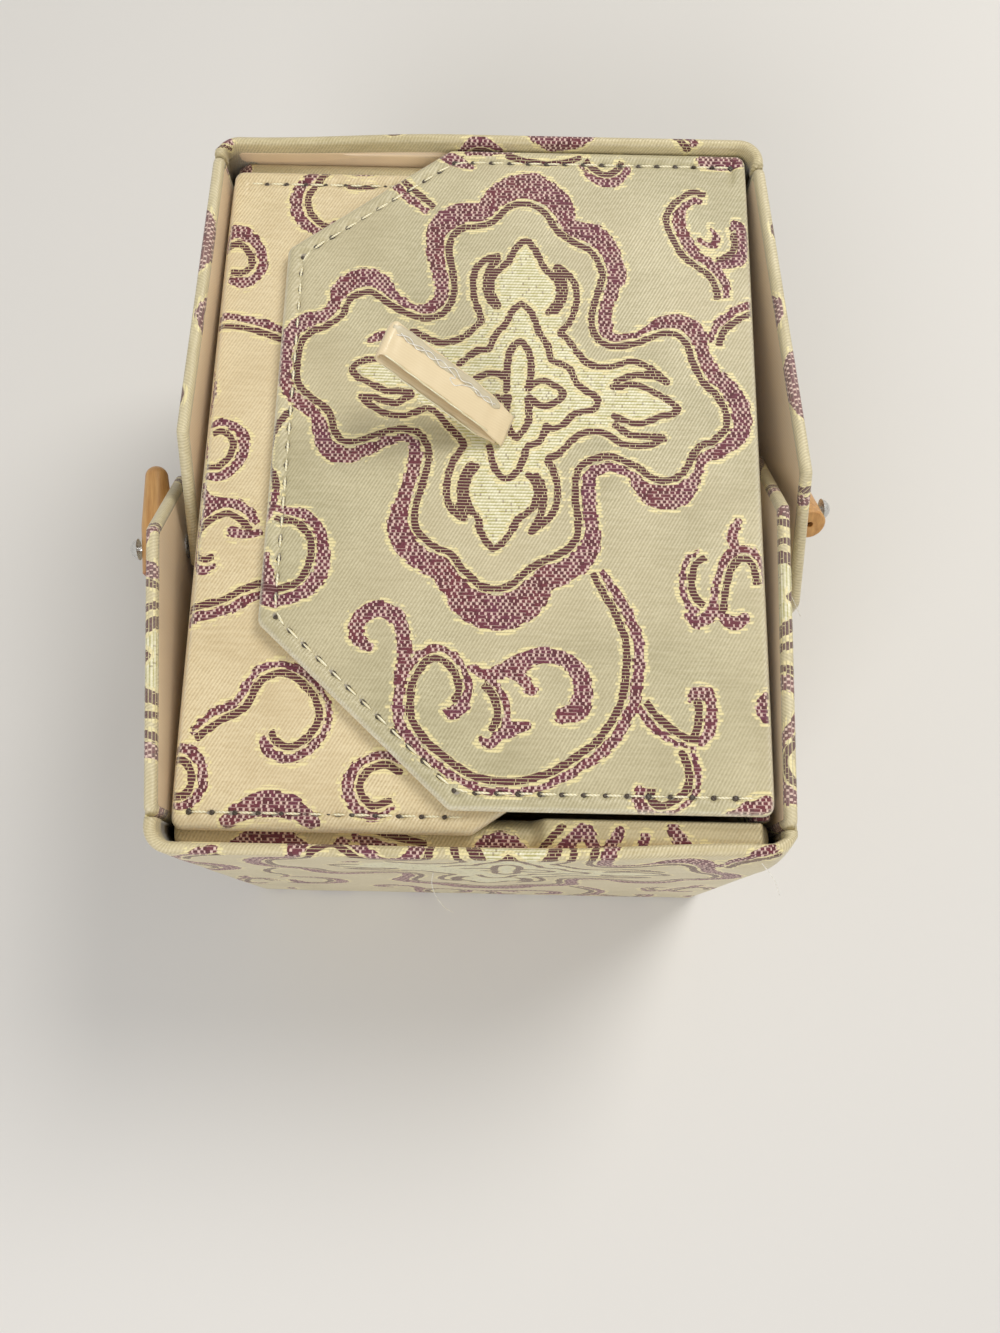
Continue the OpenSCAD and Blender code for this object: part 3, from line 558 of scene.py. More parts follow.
def repeat_figure(plan):
    """The same cloth anywhere else: the upper figure, repeated in both directions."""
    folded = plan - np.floor((plan - REPEAT_FROM) / REPEAT) * REPEAT
    found = upper_figure(folded)
    for step in ((1, 0), (-1, 0), (0, 1), (0, -1)):
        moved = folded + REPEAT * step
        close = (moved > REPEAT_FROM - 4) & (moved < REPEAT_FROM + REPEAT + 4)
        near = np.flatnonzero(np.all(close, axis=1))
        for kept, here in zip(found, upper_figure(moved[near])):
            kept[near] = np.minimum(kept[near], here)
    return found


# The part of the lower flap that the upper flap covers
HIDDEN = [(-37.5, -29.0), (-2.5, -61.0), (60.0, -61.0), (60.0, 67.0), (-8.5, 67.0), (-37.5, 45.0)]


def lower_figure(plan):
    """The lower flap's own scrolls, and the common figure where the upper flap covers it."""
    own = figure_of(plan, [], LOWER_SCROLLS, LOWER_STROKES, LOWER_LINES, [])
    common = repeat_figure(plan + np.array([44.0, 62.0]))
    fade = 1.3 * np.maximum(to_polygon(plan, HIDDEN) + 3.0, 0)
    return [np.minimum(a, b + fade) for a, b in zip(own, common)]


print("figure ready")

# %% [markdown]
# ## Brocade, as a material
# Woven silk shows three things: a fine diagonal twill on the ground, rows of weft where the figure
# is, and stray light flecks where the warp crosses the plum. All three follow the cloth, so the
# material reads the cloth's own millimetres from an attribute and never from the camera.

# %% Brocade material
WEFT = 0.635         # millimetres from one row of weft to the next
TWILL = 0.59         # millimetres from one twill line to the next
BRICK = 1.08         # millimetres from one light fleck to the next in a row
WARP, PICK = 0.42, 0.32     # the size of one uneven spot of thread, in millimetres
STEEP, FLAT = 0.872, -0.49  # the way across the twill lines
PLUM, PURPLE, MAROON = tone(104, 36, 46), tone(100, 42, 66), tone(80, 23, 31)
FLECK, CREAM, LIME = tone(230, 200, 186), tone(240, 226, 168), tone(166, 158, 72)
WHITE_WEFT, PALE, EDGE_HIGHLIGHT = tone(244, 240, 212), tone(232, 214, 178), tone(246, 243, 222)


def brocade(name, ground, shade):
    gloss = {"Sheen Weight": 0.25, "Sheen Roughness": 0.45, "Specular IOR Level": 0.55}
    material, tree, shader = new_material(name, gloss)
    flat = stored(tree, "cloth", "Vector")
    u, v = add_node(tree, "ShaderNodeSeparateXYZ", {0: flat}).outputs[:2]
    rows = per(v, WEFT)
    row, phase = whole(rows), rest_of(rows)
    bricks = plus(ramp(row, 0.5, per(u, BRICK)), times(dice(row, 3.0), 0.45))
    brick, along = whole(bricks), rest_of(bricks)
    chance, chance_2 = dice(brick, row), dice(row, brick)
    block = whole(plus(per(u, 2.2), times(row, 0.37)))
    ragged = ramp(dice(row, block), 0.56, -0.28)

    # Where the figure lies, stepped from row to row
    plum_d = plus(stored(tree, "plum"), ragged)
    line_d = plus(stored(tree, "line"), times(ragged, 0.5))
    plum_on = ramp(plum_d, -8.0, 0.5, clamp=True)
    unbroken = most(below(along, 0.90), below(chance, 0.6))
    tooth = times(below(phase, 0.79), unbroken)
    line_on = times(ramp(line_d, -8.0, 1.2, clamp=True), tooth)
    comb_gap = times(below(line_d, 0.1), 0.14)
    gold_on = ramp(plus(stored(tree, "gold"), ragged), -5.0, 0.5, clamp=True)
    reach = plus(dice(row, plus(block, 17.0)), 0.22)
    halo_on = times(minus(reach, least(plum_d, line_d)), 3.5, clamp=True)

    # The ground: a fine steep twill, uneven from thread to thread
    slanted = plus(times(u, STEEP), times(v, FLAT))
    twill = sine(times(slanted, 2 * math.pi / TWILL))
    sheen_and_tint_patches = cloud(flat, 0.07)
    slubs = cloud(stretched(flat, (0.35, 2.6, 1.0)), 0.55, 3.0)
    uneven = dice(whole(per(u, WARP)), whole(per(v, PICK)))
    tint = ramp(twill, 0.34, ramp(uneven, 0.36, 0.28), clamp=True)
    base = mix_colour(tint, ground, shade)
    # Broad patches of painted sheen: the ground is darkened towards its shade tone
    base = mix_colour(ramp(sheen_and_tint_patches, 1.7, -0.62, clamp=True), base, shade)
    base = mix_colour(ramp(slubs, 1.2, -0.5, clamp=True), base, ground)
    # A broader painted sheen: soft large areas are lightened towards pale cream
    sheen_bloom = ramp(cloud(flat, 0.022), 2.2, -0.75, clamp=True)
    base = mix_colour(times(sheen_bloom, 0.35), base, PALE)

    # The blossom: rows of lime and cream
    gilt_row = ramp(above(phase, 0.38), 0.66, times(chance, 0.34))
    gilt = mix_colour(gilt_row, LIME, WHITE_WEFT)
    gilt = mix_colour(ramp(slubs, 1.2, -0.6, clamp=True), gilt, CREAM)
    speck = times(below(along, 0.3), above(chance_2, 0.86))
    gilt = mix_colour(times(speck, 0.5), gilt, MAROON)
    colour = mix_colour(times(gold_on, 0.88), base, gilt)
    halo = mix_colour(times(above(phase, 0.68), 0.55), CREAM, shade)
    colour = mix_colour(times(halo_on, 0.85), colour, halo)

    # The bands: plum rows with light flecks where the warp crosses
    dash = below(along, ramp(chance_2, 0.26, 0.20))
    dot = times(times(dash, below(phase, 0.78)), above(chance, 0.14))
    seam = times(above(phase, 0.76), above(chance_2, 0.28))
    dot = most(dot, times(seam, 0.42))
    rich = mix_colour(ramp(sheen_and_tint_patches, 2.4, -0.9, clamp=True), PLUM, PURPLE)
    deep = mix_colour(times(above(chance, 0.55), 0.8), rich, MAROON)
    weft = mix_colour(times(dot, 0.9), deep, FLECK)
    # Along a folded edge, a painted highlight: the satin is mixed towards pale cream
    edge_highlight = ramp(uneven, 0.35, ramp(slubs, 0.8, -0.05))
    edge_highlight = times(stored(tree, "fold"), edge_highlight, clamp=True)
    for share, paint in ((plum_on, weft), (comb_gap, PLUM), (line_on, MAROON), (edge_highlight, EDGE_HIGHLIGHT)):
        colour = mix_colour(share, colour, paint)

    figure = most(plum_on, line_on)
    woven = most(figure, times(gold_on, 0.6))
    rib = ramp(sine(times(phase, math.pi)), 0.6, 0.3)
    height = ramp(woven, rib, times(twill, 0.3))
    add_bump(shader, ramp(slubs, 1.1, height), 0.00010, 0.9)
    rough = ramp(figure, 0.20, ramp(uneven, 0.08, 0.34))
    fill(shader, {"Base Color": colour, "Roughness": plus(rough, times(sheen_and_tint_patches, 0.08))})
    return material


upper_brocade = brocade("brocade_upper", tone(206, 198, 162), tone(158, 149, 112))
lower_brocade = brocade("brocade_lower", tone(236, 220, 180), tone(192, 170, 126))
side_brocade = brocade("brocade_sides", tone(220, 208, 168), tone(174, 160, 116))
print("brocade in three shades")

# %% [markdown]
# ## Satin, thread, metal and card
# The linings and the loop are peach satin: smooth, with a soft gloss and broad wrinkles. The pins
# are polished steel, and the boards inside are plain grey card.

# %% Plain materials
def satin(name, light, deep, wrinkle=60.0, gloss=0.34, depth=0.5):
    sheen = {"Sheen Weight": 0.3, "Sheen Roughness": 0.35, "Specular IOR Level": 0.6}
    material, tree, shader = new_material(name, sheen)
    place = object_place(tree)
    drawn = stretched(place, (1.0, 1.0, 0.45), (0.2, 0.1, 0.5))
    folds, fine = cloud(drawn, wrinkle), cloud(drawn, wrinkle * 6)
    weave = stripes(place, 0.8)
    middle = tuple(0.4 * np.array(deep) + 0.6 * np.array(light))
    # Painted sheen: the wrinkles' crests are lighter, by the same noise that raises them
    colour = mix_colour(ramp(folds, 1.3, -0.15, clamp=True), middle, light)
    colour = mix_colour(times(weave, 0.16), colour, deep)
    add_bump(shader, ramp(fine, 0.10, ramp(weave, 0.025, folds)), 0.0014, depth)
    fill(shader, {"Base Color": colour, "Roughness": ramp(fine, 0.12, gloss - 0.06)})
    return material


def two_tone(name, light, deep, pattern, bump, inputs, polish=None):
    """Two tones mixed by a fine pattern, which also makes the surface uneven."""
    material, tree, shader = new_material(name, inputs)
    grain = pattern(object_place(tree))
    feed(mix_colour(grain, deep, light), shader.inputs["Base Color"])
    add_bump(shader, grain, *bump)
    if polish:
        feed(ramp(grain, *polish), shader.inputs["Roughness"])
    return material


def fibres(place):
    return cloud(place, 900.0, 4.0)


def scratches(place):
    return cloud(place, 2600.0, 3.0)


THREAD = (stripes, (0.00008, 0.6), {"Roughness": 0.45, "Sheen Weight": 0.3})
CARD = (fibres, (0.0001, 0.5), {"Roughness": 0.85})
METAL = (scratches, (0.00003, 0.4), {"Metallic": 1.0}, (0.25, 0.16))
peach_satin = satin("peach_satin", tone(240, 218, 184), tone(218, 186, 146))
pad_satin = satin("pad_satin", tone(242, 220, 190), tone(218, 188, 152), 45.0)
loop_satin = satin("loop_satin", tone(236, 219, 182), tone(214, 188, 142), 130.0, 0.34, 0.4)
fold_satin = satin("fold_satin", tone(214, 204, 176), tone(176, 162, 130), 160.0, 0.36, 0.4)
edge_cloth = satin("edge_cloth", tone(206, 192, 150), tone(182, 160, 116), 200.0)
# Pale thread: the stitches, and the strips of painted highlight along the loop's edges
pale_thread_and_highlight = two_tone("pale_thread_and_highlight", tone(250, 245, 216), tone(226, 214, 172), *THREAD)
white_thread = two_tone("white_thread", tone(250, 248, 240), tone(226, 220, 206), *THREAD)
needle_shadow = two_tone("needle_shadow", tone(70, 54, 38), tone(46, 34, 24), *THREAD)
grey_card = two_tone("grey_card", tone(176, 168, 154), tone(142, 134, 120), *CARD)
polished_pin = two_tone("polished_pin", tone(226, 226, 224), tone(176, 176, 176), *METAL)
print("satin, thread, metal and card")

# %% [markdown]
# ## Closed skins
# Nearly every piece here is a panel or a strip of cloth with thickness. Both can be drawn as rows
# of points joined into a closed skin. Working with rows keeps the faces even, and lets each point
# remember which spot of the flat cloth it came from.

# %% Skins from rows of points
def with_third(plan, third):
    """Flat points with a third number: one for all of them, or one for each."""
    return np.column_stack([plan, np.broadcast_to(third, len(plan))])


def units(rows):
    return rows / np.maximum(np.linalg.norm(rows, axis=1, keepdims=True), 1e-9)


def smooth_faces(mesh):
    mesh.polygons.foreach_set("use_smooth", [True] * len(mesh.polygons))


def corner_volume(points, loop):
    first, second, third = points[loop[0]], points[loop[1:-1]], points[loop[2:]]
    return np.sum(np.cross(second, third) @ first)


def make_piece(name, points, quads, caps, material, body=None, **layers):
    """A closed skin in millimetres whose faces point outwards, with extra values on its points."""
    points = np.asarray(points, float)
    a, b, c, d = (points[quads[:, k]] for k in range(4))
    volume = np.einsum("ij,ij", a, np.cross(b, c) + np.cross(c, d))
    volume += sum(corner_volume(points, np.array(cap)) for cap in caps)
    faces = quads.tolist() + [list(cap) for cap in caps]
    if volume < 0:
        faces = [face[::-1] for face in faces]
    mesh = bpy.data.meshes.new(name)
    mesh.from_pydata((points * MM).tolist(), [], faces)
    smooth_faces(mesh)
    mesh.materials.append(material)
    piece = add_object(name, mesh)
    for layer, values in layers.items():
        values = np.asarray(values, float)
        flat = values.ndim == 1
        data = mesh.attributes.new(layer, "FLOAT" if flat else "FLOAT_VECTOR", "POINT").data
        data.foreach_set("value" if flat else "vector", values.ravel())
    if body:
        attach(piece, body)
    return piece


def row_quads(index):
    return np.column_stack([index[:-1, :-1].ravel(), index[:-1, 1:].ravel(),
                            index[1:, 1:].ravel(), index[1:, :-1].ravel()])


def tube_skin(rings):
    """Closed rings of the same number of points, joined and filled at both ends."""
    rings = np.asarray(rings, float)
    count, size = rings.shape[:2]
    index = np.arange(count * size).reshape(count, size)
    quads = row_quads(np.hstack([index, index[:, :1]]))
    return rings.reshape(-1, 3), quads, [index[0, ::-1].tolist(), index[-1].tolist()]


print("skins ready")

# %% [markdown]
# ## Panels
# A flap or a wing is a board inside a brocade bag: the cloth wraps round the edge and shows a
# narrow hem below. Its edge swells a little between the fold and the row of stitches, and dips at
# the stitches. The outline is the one that the board was cut to.

# %% Outlines and their distances
GROOVE, STITCH = 3.1, 3.8     # how far in the stitches lie, and how far apart
GRADES = np.array([0, 0.08, 0.25, 0.5, 0.8, 1.15, 1.6, 2.1, 2.5, 2.8, 3.05, 3.3, 3.55, 3.9, 4.4])


def unit(vector):
    return vector / max(np.linalg.norm(vector), 1e-9)


def neighbours(points):
    points = np.array(points, float)
    return zip(np.roll(points, 1, axis=0), points, np.roll(points, -1, axis=0))


def inset(points, by):
    moved = []
    for before, here, after in neighbours(points):
        sides = []
        for run in (unit(here - before), unit(after - here)):
            inward = np.array([-run[1], run[0]])
            sides.append((inward, inward @ here + by))
        moved.append(np.linalg.solve([s[0] for s in sides], [s[1] for s in sides]))
    return np.array(moved)


def rounded(points, radius, steps=6):
    turned = []
    for before, here, after in neighbours(points):
        a, b = unit(before - here), unit(after - here)
        half = math.acos(np.clip(a @ b, -1, 1)) / 2
        centre = here + unit(a + b) * radius / math.sin(half)
        first = here + a * radius / math.tan(half) - centre
        last = here + b * radius / math.tan(half) - centre
        for share in np.linspace(0, 1, steps + 1):
            turned.append(centre + unit(first * (1 - share) + last * share) * radius)
    return np.array(turned)


def inside_depth(plan, outline):
    """How deep each point lies inside a convex outline, and the direction out of it."""
    depths, normals = [], []
    for a, b in zip(outline, np.roll(outline, -1, axis=0)):
        if np.linalg.norm(b - a) > 1e-6:
            run = unit(b - a)
            normals.append([run[1], -run[0]])
            depths.append((plan - a) @ np.array([-run[1], run[0]]))
    depth = np.array(depths).min(0)
    weight = np.exp(-(np.array(depths) - depth) / 0.12)
    return np.maximum(depth, 0), units(weight.T @ np.array(normals))


def row_span(outline, level):
    crossings = []
    for a, b in zip(outline, np.roll(outline, -1, axis=0)):
        if min(a[1], b[1]) <= level <= max(a[1], b[1]) and abs(a[1] - b[1]) > 1e-9:
            crossings.append(a[0] + (level - a[1]) * (b[0] - a[0]) / (b[1] - a[1]))
    return min(crossings), max(crossings)


def graded(low, high, count):
    """Places from low to high that lie closer together near both ends."""
    middle = np.linspace(low + GRADES[-1], high - GRADES[-1], count)
    return np.concatenate([low + GRADES[:-1], middle, high - GRADES[-2::-1]])


def groove_places(outline, sides, offset=0.0):
    """Points of the flat cloth along some sides' stitches, moved on by a share of a stitch."""
    corners, places = inset(outline, GROOVE), []
    for side in sides:
        start, end = corners[side], corners[(side + 1) % len(corners)]
        count = max(int(round(np.linalg.norm(end - start) / STITCH)), 1)
        places += [start + (end - start) * (k + offset) / count for k in range(count)]
    return np.array(places)


print("outline helpers ready")

# %% Panel maker
WAVES, TURN, WAVE_LENGTH, SHIFT = 6, (0, 2 * math.pi), (14, 42), (0, 6.3)
PUFF_REACH, PUFF_FADE = 5.0, 1.5               # how far from a needle hole the hem puffs up
PINCH, PINCH_WIDE = 1.7, 0.55                  # the dip at a needle hole
FAN, FAN_WIDE = 1.5, 1.3                       # and the creases that run from it to the edge
HIGHLIGHT_SEWN, HIGHLIGHT_PLAIN, HIGHLIGHT_REACH = 1.15, 0.2, 0.5     # how strong the painted highlight is along a stitched or plain edge, and how far in it reaches


def ripple(plan, size, seed):
    """Slow unevenness of hand-laid cloth, made of a few waves."""
    turns = np.random.default_rng(seed)
    total = np.zeros(len(plan))
    for _ in range(WAVES):
        angle, wave, shift = (turns.uniform(*span) for span in (TURN, WAVE_LENGTH, SHIFT))
        along = plan @ np.array([math.cos(angle), math.sin(angle)])
        total += np.sin(2 * math.pi * along / wave + shift)
    return size * total / WAVES


def top_profile(depth, thick, puff, crown, groove_depth):
    r = thick / 2
    edge = r * np.maximum(1 - (np.maximum(r - depth, 0) / r) ** 2.7, 0) ** (1 / 2.3)
    swell = puff * np.sin(math.pi * np.clip((depth - 0.15) / (GROOVE - 0.3), 0, 1))
    dip = -groove_depth * np.exp(-((depth - GROOVE) / 0.42) ** 2)
    middle = crown * (1 - np.exp(-np.maximum(depth - GROOVE, 0) / 3.5))
    return r + edge + swell + dip + middle


def woven(cloth, figure):
    """What the brocade has to know of each point: its place on the cloth and in the figure."""
    plum, line, gold = figure(cloth)
    return {"plum": plum, "line": line, "gold": gold, "cloth": with_third(cloth, 0.0)}


def soft_panel(name, outline, thick, put, pitch, material, body, figure=None, at=(0, 0), holes=None,
               puff=0.16, crown=0.0, groove=0.0, hem=1.8, wave=0.05, seed=1, corner=2.0, dent=None):
    """A board in its bag of cloth, with a rounded edge, a hem below and puffs at the stitches."""
    edge = rounded(outline, corner)
    low, high = edge[:, 1].min() + 1e-6, edge[:, 1].max() - 1e-6
    rows = graded(low, high, max(int((high - low) / pitch), 4))
    spans = np.array([row_span(edge, level) for level in rows])
    columns = max(int((spans[:, 1] - spans[:, 0]).max() / pitch), 4)
    across = np.array([graded(a, b, columns) for a, b in spans])
    plan = np.column_stack([across.ravel(), np.repeat(rows, across.shape[1])])
    depth, out = inside_depth(plan, edge)
    sewn = np.zeros(len(plan))
    if holes is not None:
        hem_side = depth < GROOVE + 4
        near = depth[hem_side]
        gaps = np.linalg.norm(plan[hem_side][:, None] - holes[None], axis=2).min(1)
        sewn[hem_side] = np.clip((PUFF_REACH - gaps) / PUFF_FADE, 0, 1)
        pinch = PINCH * np.exp(-(gaps / PINCH_WIDE) ** 2)
        fan = FAN * np.exp(-(gaps / FAN_WIDE) ** 2)
        pinch += fan * np.clip((GROOVE + 0.4 - near) / 0.4, 0, 1)
    height = top_profile(depth, thick, puff * sewn, crown, groove * sewn)
    height += ripple(plan, wave, seed) * np.clip(depth / 3, 0, 1)
    if holes is not None:
        height[hem_side] -= groove * pinch * np.clip(near / 0.6, 0, 1)
    if dent is not None:
        x, y, deep, wide = dent
        height -= deep * np.exp(-(np.linalg.norm(plan - np.array([x, y]), axis=1) / wide) ** 2)
    r = thick / 2
    bend = np.maximum(r - depth, 0)
    cloth = plan + out * (r * np.arcsin(np.clip(bend / r, 0, 1)) - bend)[:, None]

    # Round the edge and under it, ring by ring, as far as the hem
    index = np.arange(len(plan)).reshape(across.shape)
    loop = np.concatenate([index[0], index[1:, -1], index[-1, -2::-1], index[-2:0:-1, 0]])
    turn = np.linspace(0, math.pi / 2, 5)[1:]
    steps = [(r * (1 - math.cos(t)), r * (1 - math.sin(t)), r * t) for t in turn]
    steps += [(hem, 0.0, r * math.pi / 2 + hem - r), (hem, min(0.35, thick * 0.4), r * 2 + hem)]
    plans, heights, cloths, rings = [plan], [height], [cloth], [loop]
    for inward, level, extra in steps:
        rings.append(np.arange(len(loop)) + sum(len(p) for p in plans))
        plans.append(plan[loop] - out[loop] * inward)
        heights.append(np.full(len(loop), level))
        cloths.append(cloth[loop] + out[loop] * extra)
    plan, height, cloth = np.vstack(plans), np.concatenate(heights), np.vstack(cloths)
    order = np.array(rings[::-1])
    quads = np.vstack([row_quads(index), row_quads(np.hstack([order, order[:, :1]]))])
    caps = [rings[-1][::-1].tolist()]
    if figure:
        layers = woven(cloth + np.array(at, float), figure)
        # Along the folded edge, a painted highlight, stronger where the edge is stitched
        highlight = HIGHLIGHT_PLAIN if holes is None else HIGHLIGHT_SEWN
        below_edge = np.ones(len(plan) - len(depth))
        layers["fold"] = highlight * np.concatenate([np.exp(-(depth / HIGHLIGHT_REACH) ** 2), below_edge])
    else:
        layers = {"cloth": with_third(cloth, 0.0)}
    return make_piece(name, put(plan, height), quads, caps, material, body, **layers)


def thin_satin(name, outline, put, body, crown=0.0, wave=0.05, corner=1.4, seed=1, pitch=1.6):
    return soft_panel(name, outline, LINING_T, put, pitch, peach_satin, body, hem=0.3, crown=crown,
                      wave=wave, corner=corner, seed=seed)


print("panel maker ready")

# %% [markdown]
# ## The two flaps
# The upper flap is hinged on the right wall and ends in a tongue with two slanted corners. The
# lower flap comes from the left and runs in under it. Both carry a row of stitches near their free
# edges.

# %% Flap panels
FLAP_T, OVER_Z, UNDER_Z, LINING_T = 2.5, 84.1, 81.3, 0.5
OVER = [(53, -65.49), (53, 71.51), (-8, 71.51), (-40, 47.01), (-40, -31.99), (-4, -65.49)]
UNDER = [(-53, -69.46), (0, -69.46), (10, -62.46), (10, 60.54), (0, 67.54), (-53, 67.54)]
OVER_SEWN, UNDER_SEWN = [1, 2, 3, 4, 5], [0, 4]     # the sides with stitches
LOOP_BASE = (3.0, 7.7)
LINING_SUNK = 0.48


def lying(level, up=1):
    return lambda plan, height: with_third(plan, level + up * height)


over_cloth = soft_panel("over_flap_cloth", OVER, FLAP_T, lying(OVER_Z), 0.5, upper_brocade,
                        "over_flap", upper_figure, holes=groove_places(OVER, OVER_SEWN),
                        groove=0.2, crown=0.14, wave=0.16, seed=3, dent=(*LOOP_BASE, 0.5, 3.0))
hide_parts("over_flap_brocade")
under_cloth = soft_panel("under_flap_cloth", UNDER, FLAP_T, lying(UNDER_Z), 0.55, lower_brocade,
                         "under_flap", lower_figure, holes=groove_places(UNDER, UNDER_SEWN),
                         groove=0.18, puff=0.1, crown=0.06, wave=0.1, seed=5)
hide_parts("under_flap_brocade")

over_satin = thin_satin("over_flap_satin", inset(OVER, 1.6), lying(OVER_Z + LINING_SUNK, -1),
                        "over_flap", crown=0.02, wave=0.03)
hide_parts("over_flap_lining")
under_satin = thin_satin("under_flap_satin", inset(UNDER, 1.6), lying(UNDER_Z + LINING_SUNK, -1),
                         "under_flap", crown=0.1, wave=0.1)
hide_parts("under_flap_lining")
print("flap faces", len(over_cloth.data.polygons), len(under_cloth.data.polygons))

# %% [markdown]
# ## The front and rear covers
# A cover is one long board panel whose brocade rounds both upright corners, so it is a section
# swept along a path: up the outer face, over the rolled rim and a little way down inside. The
# cloth's own millimetres run along the path and up the section, so the figure isn't stretched at
# the corners.

# %% Cover panels
COVER_T, RIM_H, HINGE_X, HINGE_Y, OUTER_Y, CORNER_R = 2.2, 88.4, 56.4, 68.0, 74.2, 5.0
FOOT, HEM_Z = 0.02, 84.6
LEAN, LEAN_FROM_X, LEAN_FROM_Z = 1.9, 8, 74


def cover_path(pitch):
    """Plan points along a cover's outer face from left to right, and the ways out of it."""
    x, y = HINGE_X - CORNER_R, CORNER_R - OUTER_Y
    ends = np.linspace(0, OUTER_Y - CORNER_R - HINGE_Y, 3)[:-1]
    angles = np.linspace(0, math.pi / 2, 13)
    points = [(-HINGE_X, -HINGE_Y - e) for e in ends]
    out = [(-1.0, 0.0)] * len(points)
    points += [(-x - CORNER_R * math.cos(a), y - CORNER_R * math.sin(a)) for a in angles]
    out += [(-math.cos(a), -math.sin(a)) for a in angles]
    half, count = len(points), int(2 * x / pitch)
    points += [(-x + 2 * x * k / count, -OUTER_Y) for k in range(1, count)]
    out += [(0.0, -1.0)] * (count - 1)
    return [np.vstack([rows, np.array(rows[:half][::-1]) * (-1, 1)]) for rows in (points, out)]


def edge_section(thick, foot, top, inner_stop, back, pitch):
    """Up the outer face, over the rolled rim, down inside to the hem, and back down inside."""
    r, half = thick / 2, back / 2
    inner_steps = max(int((top - r - inner_stop) / pitch), 2)
    outer = [(0, z) for z in np.linspace(foot + r, top - r, int((top - foot) / pitch))]
    rim = [(r - r * math.cos(a), top - r + r * math.sin(a))
           for a in np.linspace(0, math.pi, 13)[1:]]
    inner = [(thick, z) for z in np.linspace(top - r, inner_stop, inner_steps)[1:]]
    inner += [(thick - 0.1, inner_stop - 0.15), (back, inner_stop - 0.25), (back, foot + r)]
    under = [(half + half * math.cos(a), foot + r - r * math.sin(a))
             for a in np.linspace(0, math.pi, 9)[1:-1]]
    return np.array(outer + rim + inner + under)


def run_length(points):
    return np.concatenate([[0], np.cumsum(np.linalg.norm(np.diff(points, axis=0), axis=1))])


def swept_cloth(name, path, out, section, figure, at, turn, wave=0.0, seed=1, soft_ends=(),
                lift=None, lean=None):
    """A section of (inset, height) carried along a plan path."""
    along, up = run_length(path), run_length(section)
    count, size = len(path), len(section)
    flat = np.column_stack([np.repeat(along, size), np.tile(up, count)])
    bulge = ripple(flat, wave, seed).reshape(count, size) * (section[:, 0] < 0.01)
    sections = np.repeat(section[None], count, axis=0)
    run = units(np.roll(section, -1, axis=0) - np.roll(section, 1, axis=0))
    for k, shrink in enumerate(soft_ends):
        for station in (k, -1 - k):
            sections[station] += shrink * np.column_stack([run[:, 1], -run[:, 0]])
    if lift is not None:
        sections[..., 1] += lift(path[:, :1], sections[..., 1], sections[..., 0])
    spot = path[:, None] - out[:, None] * (sections[..., :1] - bulge[..., None])
    rings = np.dstack([spot, sections[..., 1]])
    if lean is not None:
        rings[..., 1] += lean(rings[..., 0], rings[..., 1], rings[..., 2])
    layers = woven(flat + np.array(at, float), figure)
    return make_piece(name, *tube_skin(rings @ turn.T), side_brocade, "case", **layers)


NO_TURN, HALF_TURN = np.eye(3), np.diag([-1.0, -1.0, 1.0])
ENDS = (("front", NO_TURN), ("rear", HALF_TURN))


def smooth_step(share):
    return share ** 2 * (3 - 2 * share)


def hand_made(x, y, z):
    """The covers aren't quite true: one half of each rim leans in a little."""
    aside = smooth_step(np.clip((x - LEAN_FROM_X) / 42, 0, 1))
    corner = np.clip((-68.2 - y) / 3.3, 0, 1)
    return LEAN * aside * np.clip((z - LEAN_FROM_Z) / 14.4, 0, 1) ** 2 * corner


path, out = cover_path(0.8)
section = edge_section(COVER_T, FOOT, RIM_H, HEM_Z, COVER_T - 0.35, 0.8)
cover_length = run_length(path)[-1]
COVER_AT = {"front": (-60.0, -52.0), "rear": (-38.0, -25.0)}
for end, turn in ENDS:
    cover = swept_cloth(end + "_cover_cloth", path, out, section, repeat_figure, COVER_AT[end],
                        turn, wave=0.12, seed=7, lean=hand_made)
    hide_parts(end + "_cover_brocade")
print("cover cloth", round(cover_length, 1), "mm long")

# %% Cover linings
LINING_Y, CORE_Y, CORE_T = -72.45, -73.88, 1.5     # the front cover's; the rear one's are mirrored


def upright(turn, level, lean=False):
    """Plan (x, z) on an upright plane y = level, with its thickness towards the tray."""
    def put(plan, height):
        depth = level + height
        if lean:
            depth = depth + hand_made(plan[:, 0], -OUTER_Y, plan[:, 1])
        return np.column_stack([plan[:, 0], depth, plan[:, 1]]) @ turn.T
    return put


def upright_shape(half, low, high):
    return [(-half, low), (half, low), (half, high), (-half, high)]


for end, turn in ENDS:
    lining = thin_satin(end + "_cover_satin", upright_shape(52.4, 1.6, 85.0),
                        upright(turn, LINING_Y, True), "case", wave=0.04, corner=0.8, seed=9)
    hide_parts(end + "_cover_lining")
    core = soft_panel(end + "_cover_core", upright_shape(50.9, 0.4, 86.6), CORE_T,
                      upright(turn, CORE_Y, True), 2.0, grey_card, "case", hem=0.9, wave=0,
                      corner=0.6)
    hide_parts(end + "_cover_board")
print("cover linings and cores")

# %% [markdown]
# ## The four wings
# A wing hangs on each end of each cover like a door. On each side one wing lies inside the other,
# and the outer one flares so that it clears the inner one. The wing's panel is the same as a
# flap's, only stood upright and turned round its hinge.

# %% Wing panels
WINGS = {     # its side and end of the box, the length of its top edge, and its flare in degrees
    "front_left_wing": (-1, -1, 53.5, 5.600861), "rear_left_wing": (-1, 1, 63.0, 1.5),
    "rear_right_wing": (1, 1, 69.0, 5.267734), "front_right_wing": (1, -1, 60.4, 1.5),
}
WING_FOOT, WING_CUT, WING_LINING_IN = 1.0, 20.0, 0.47


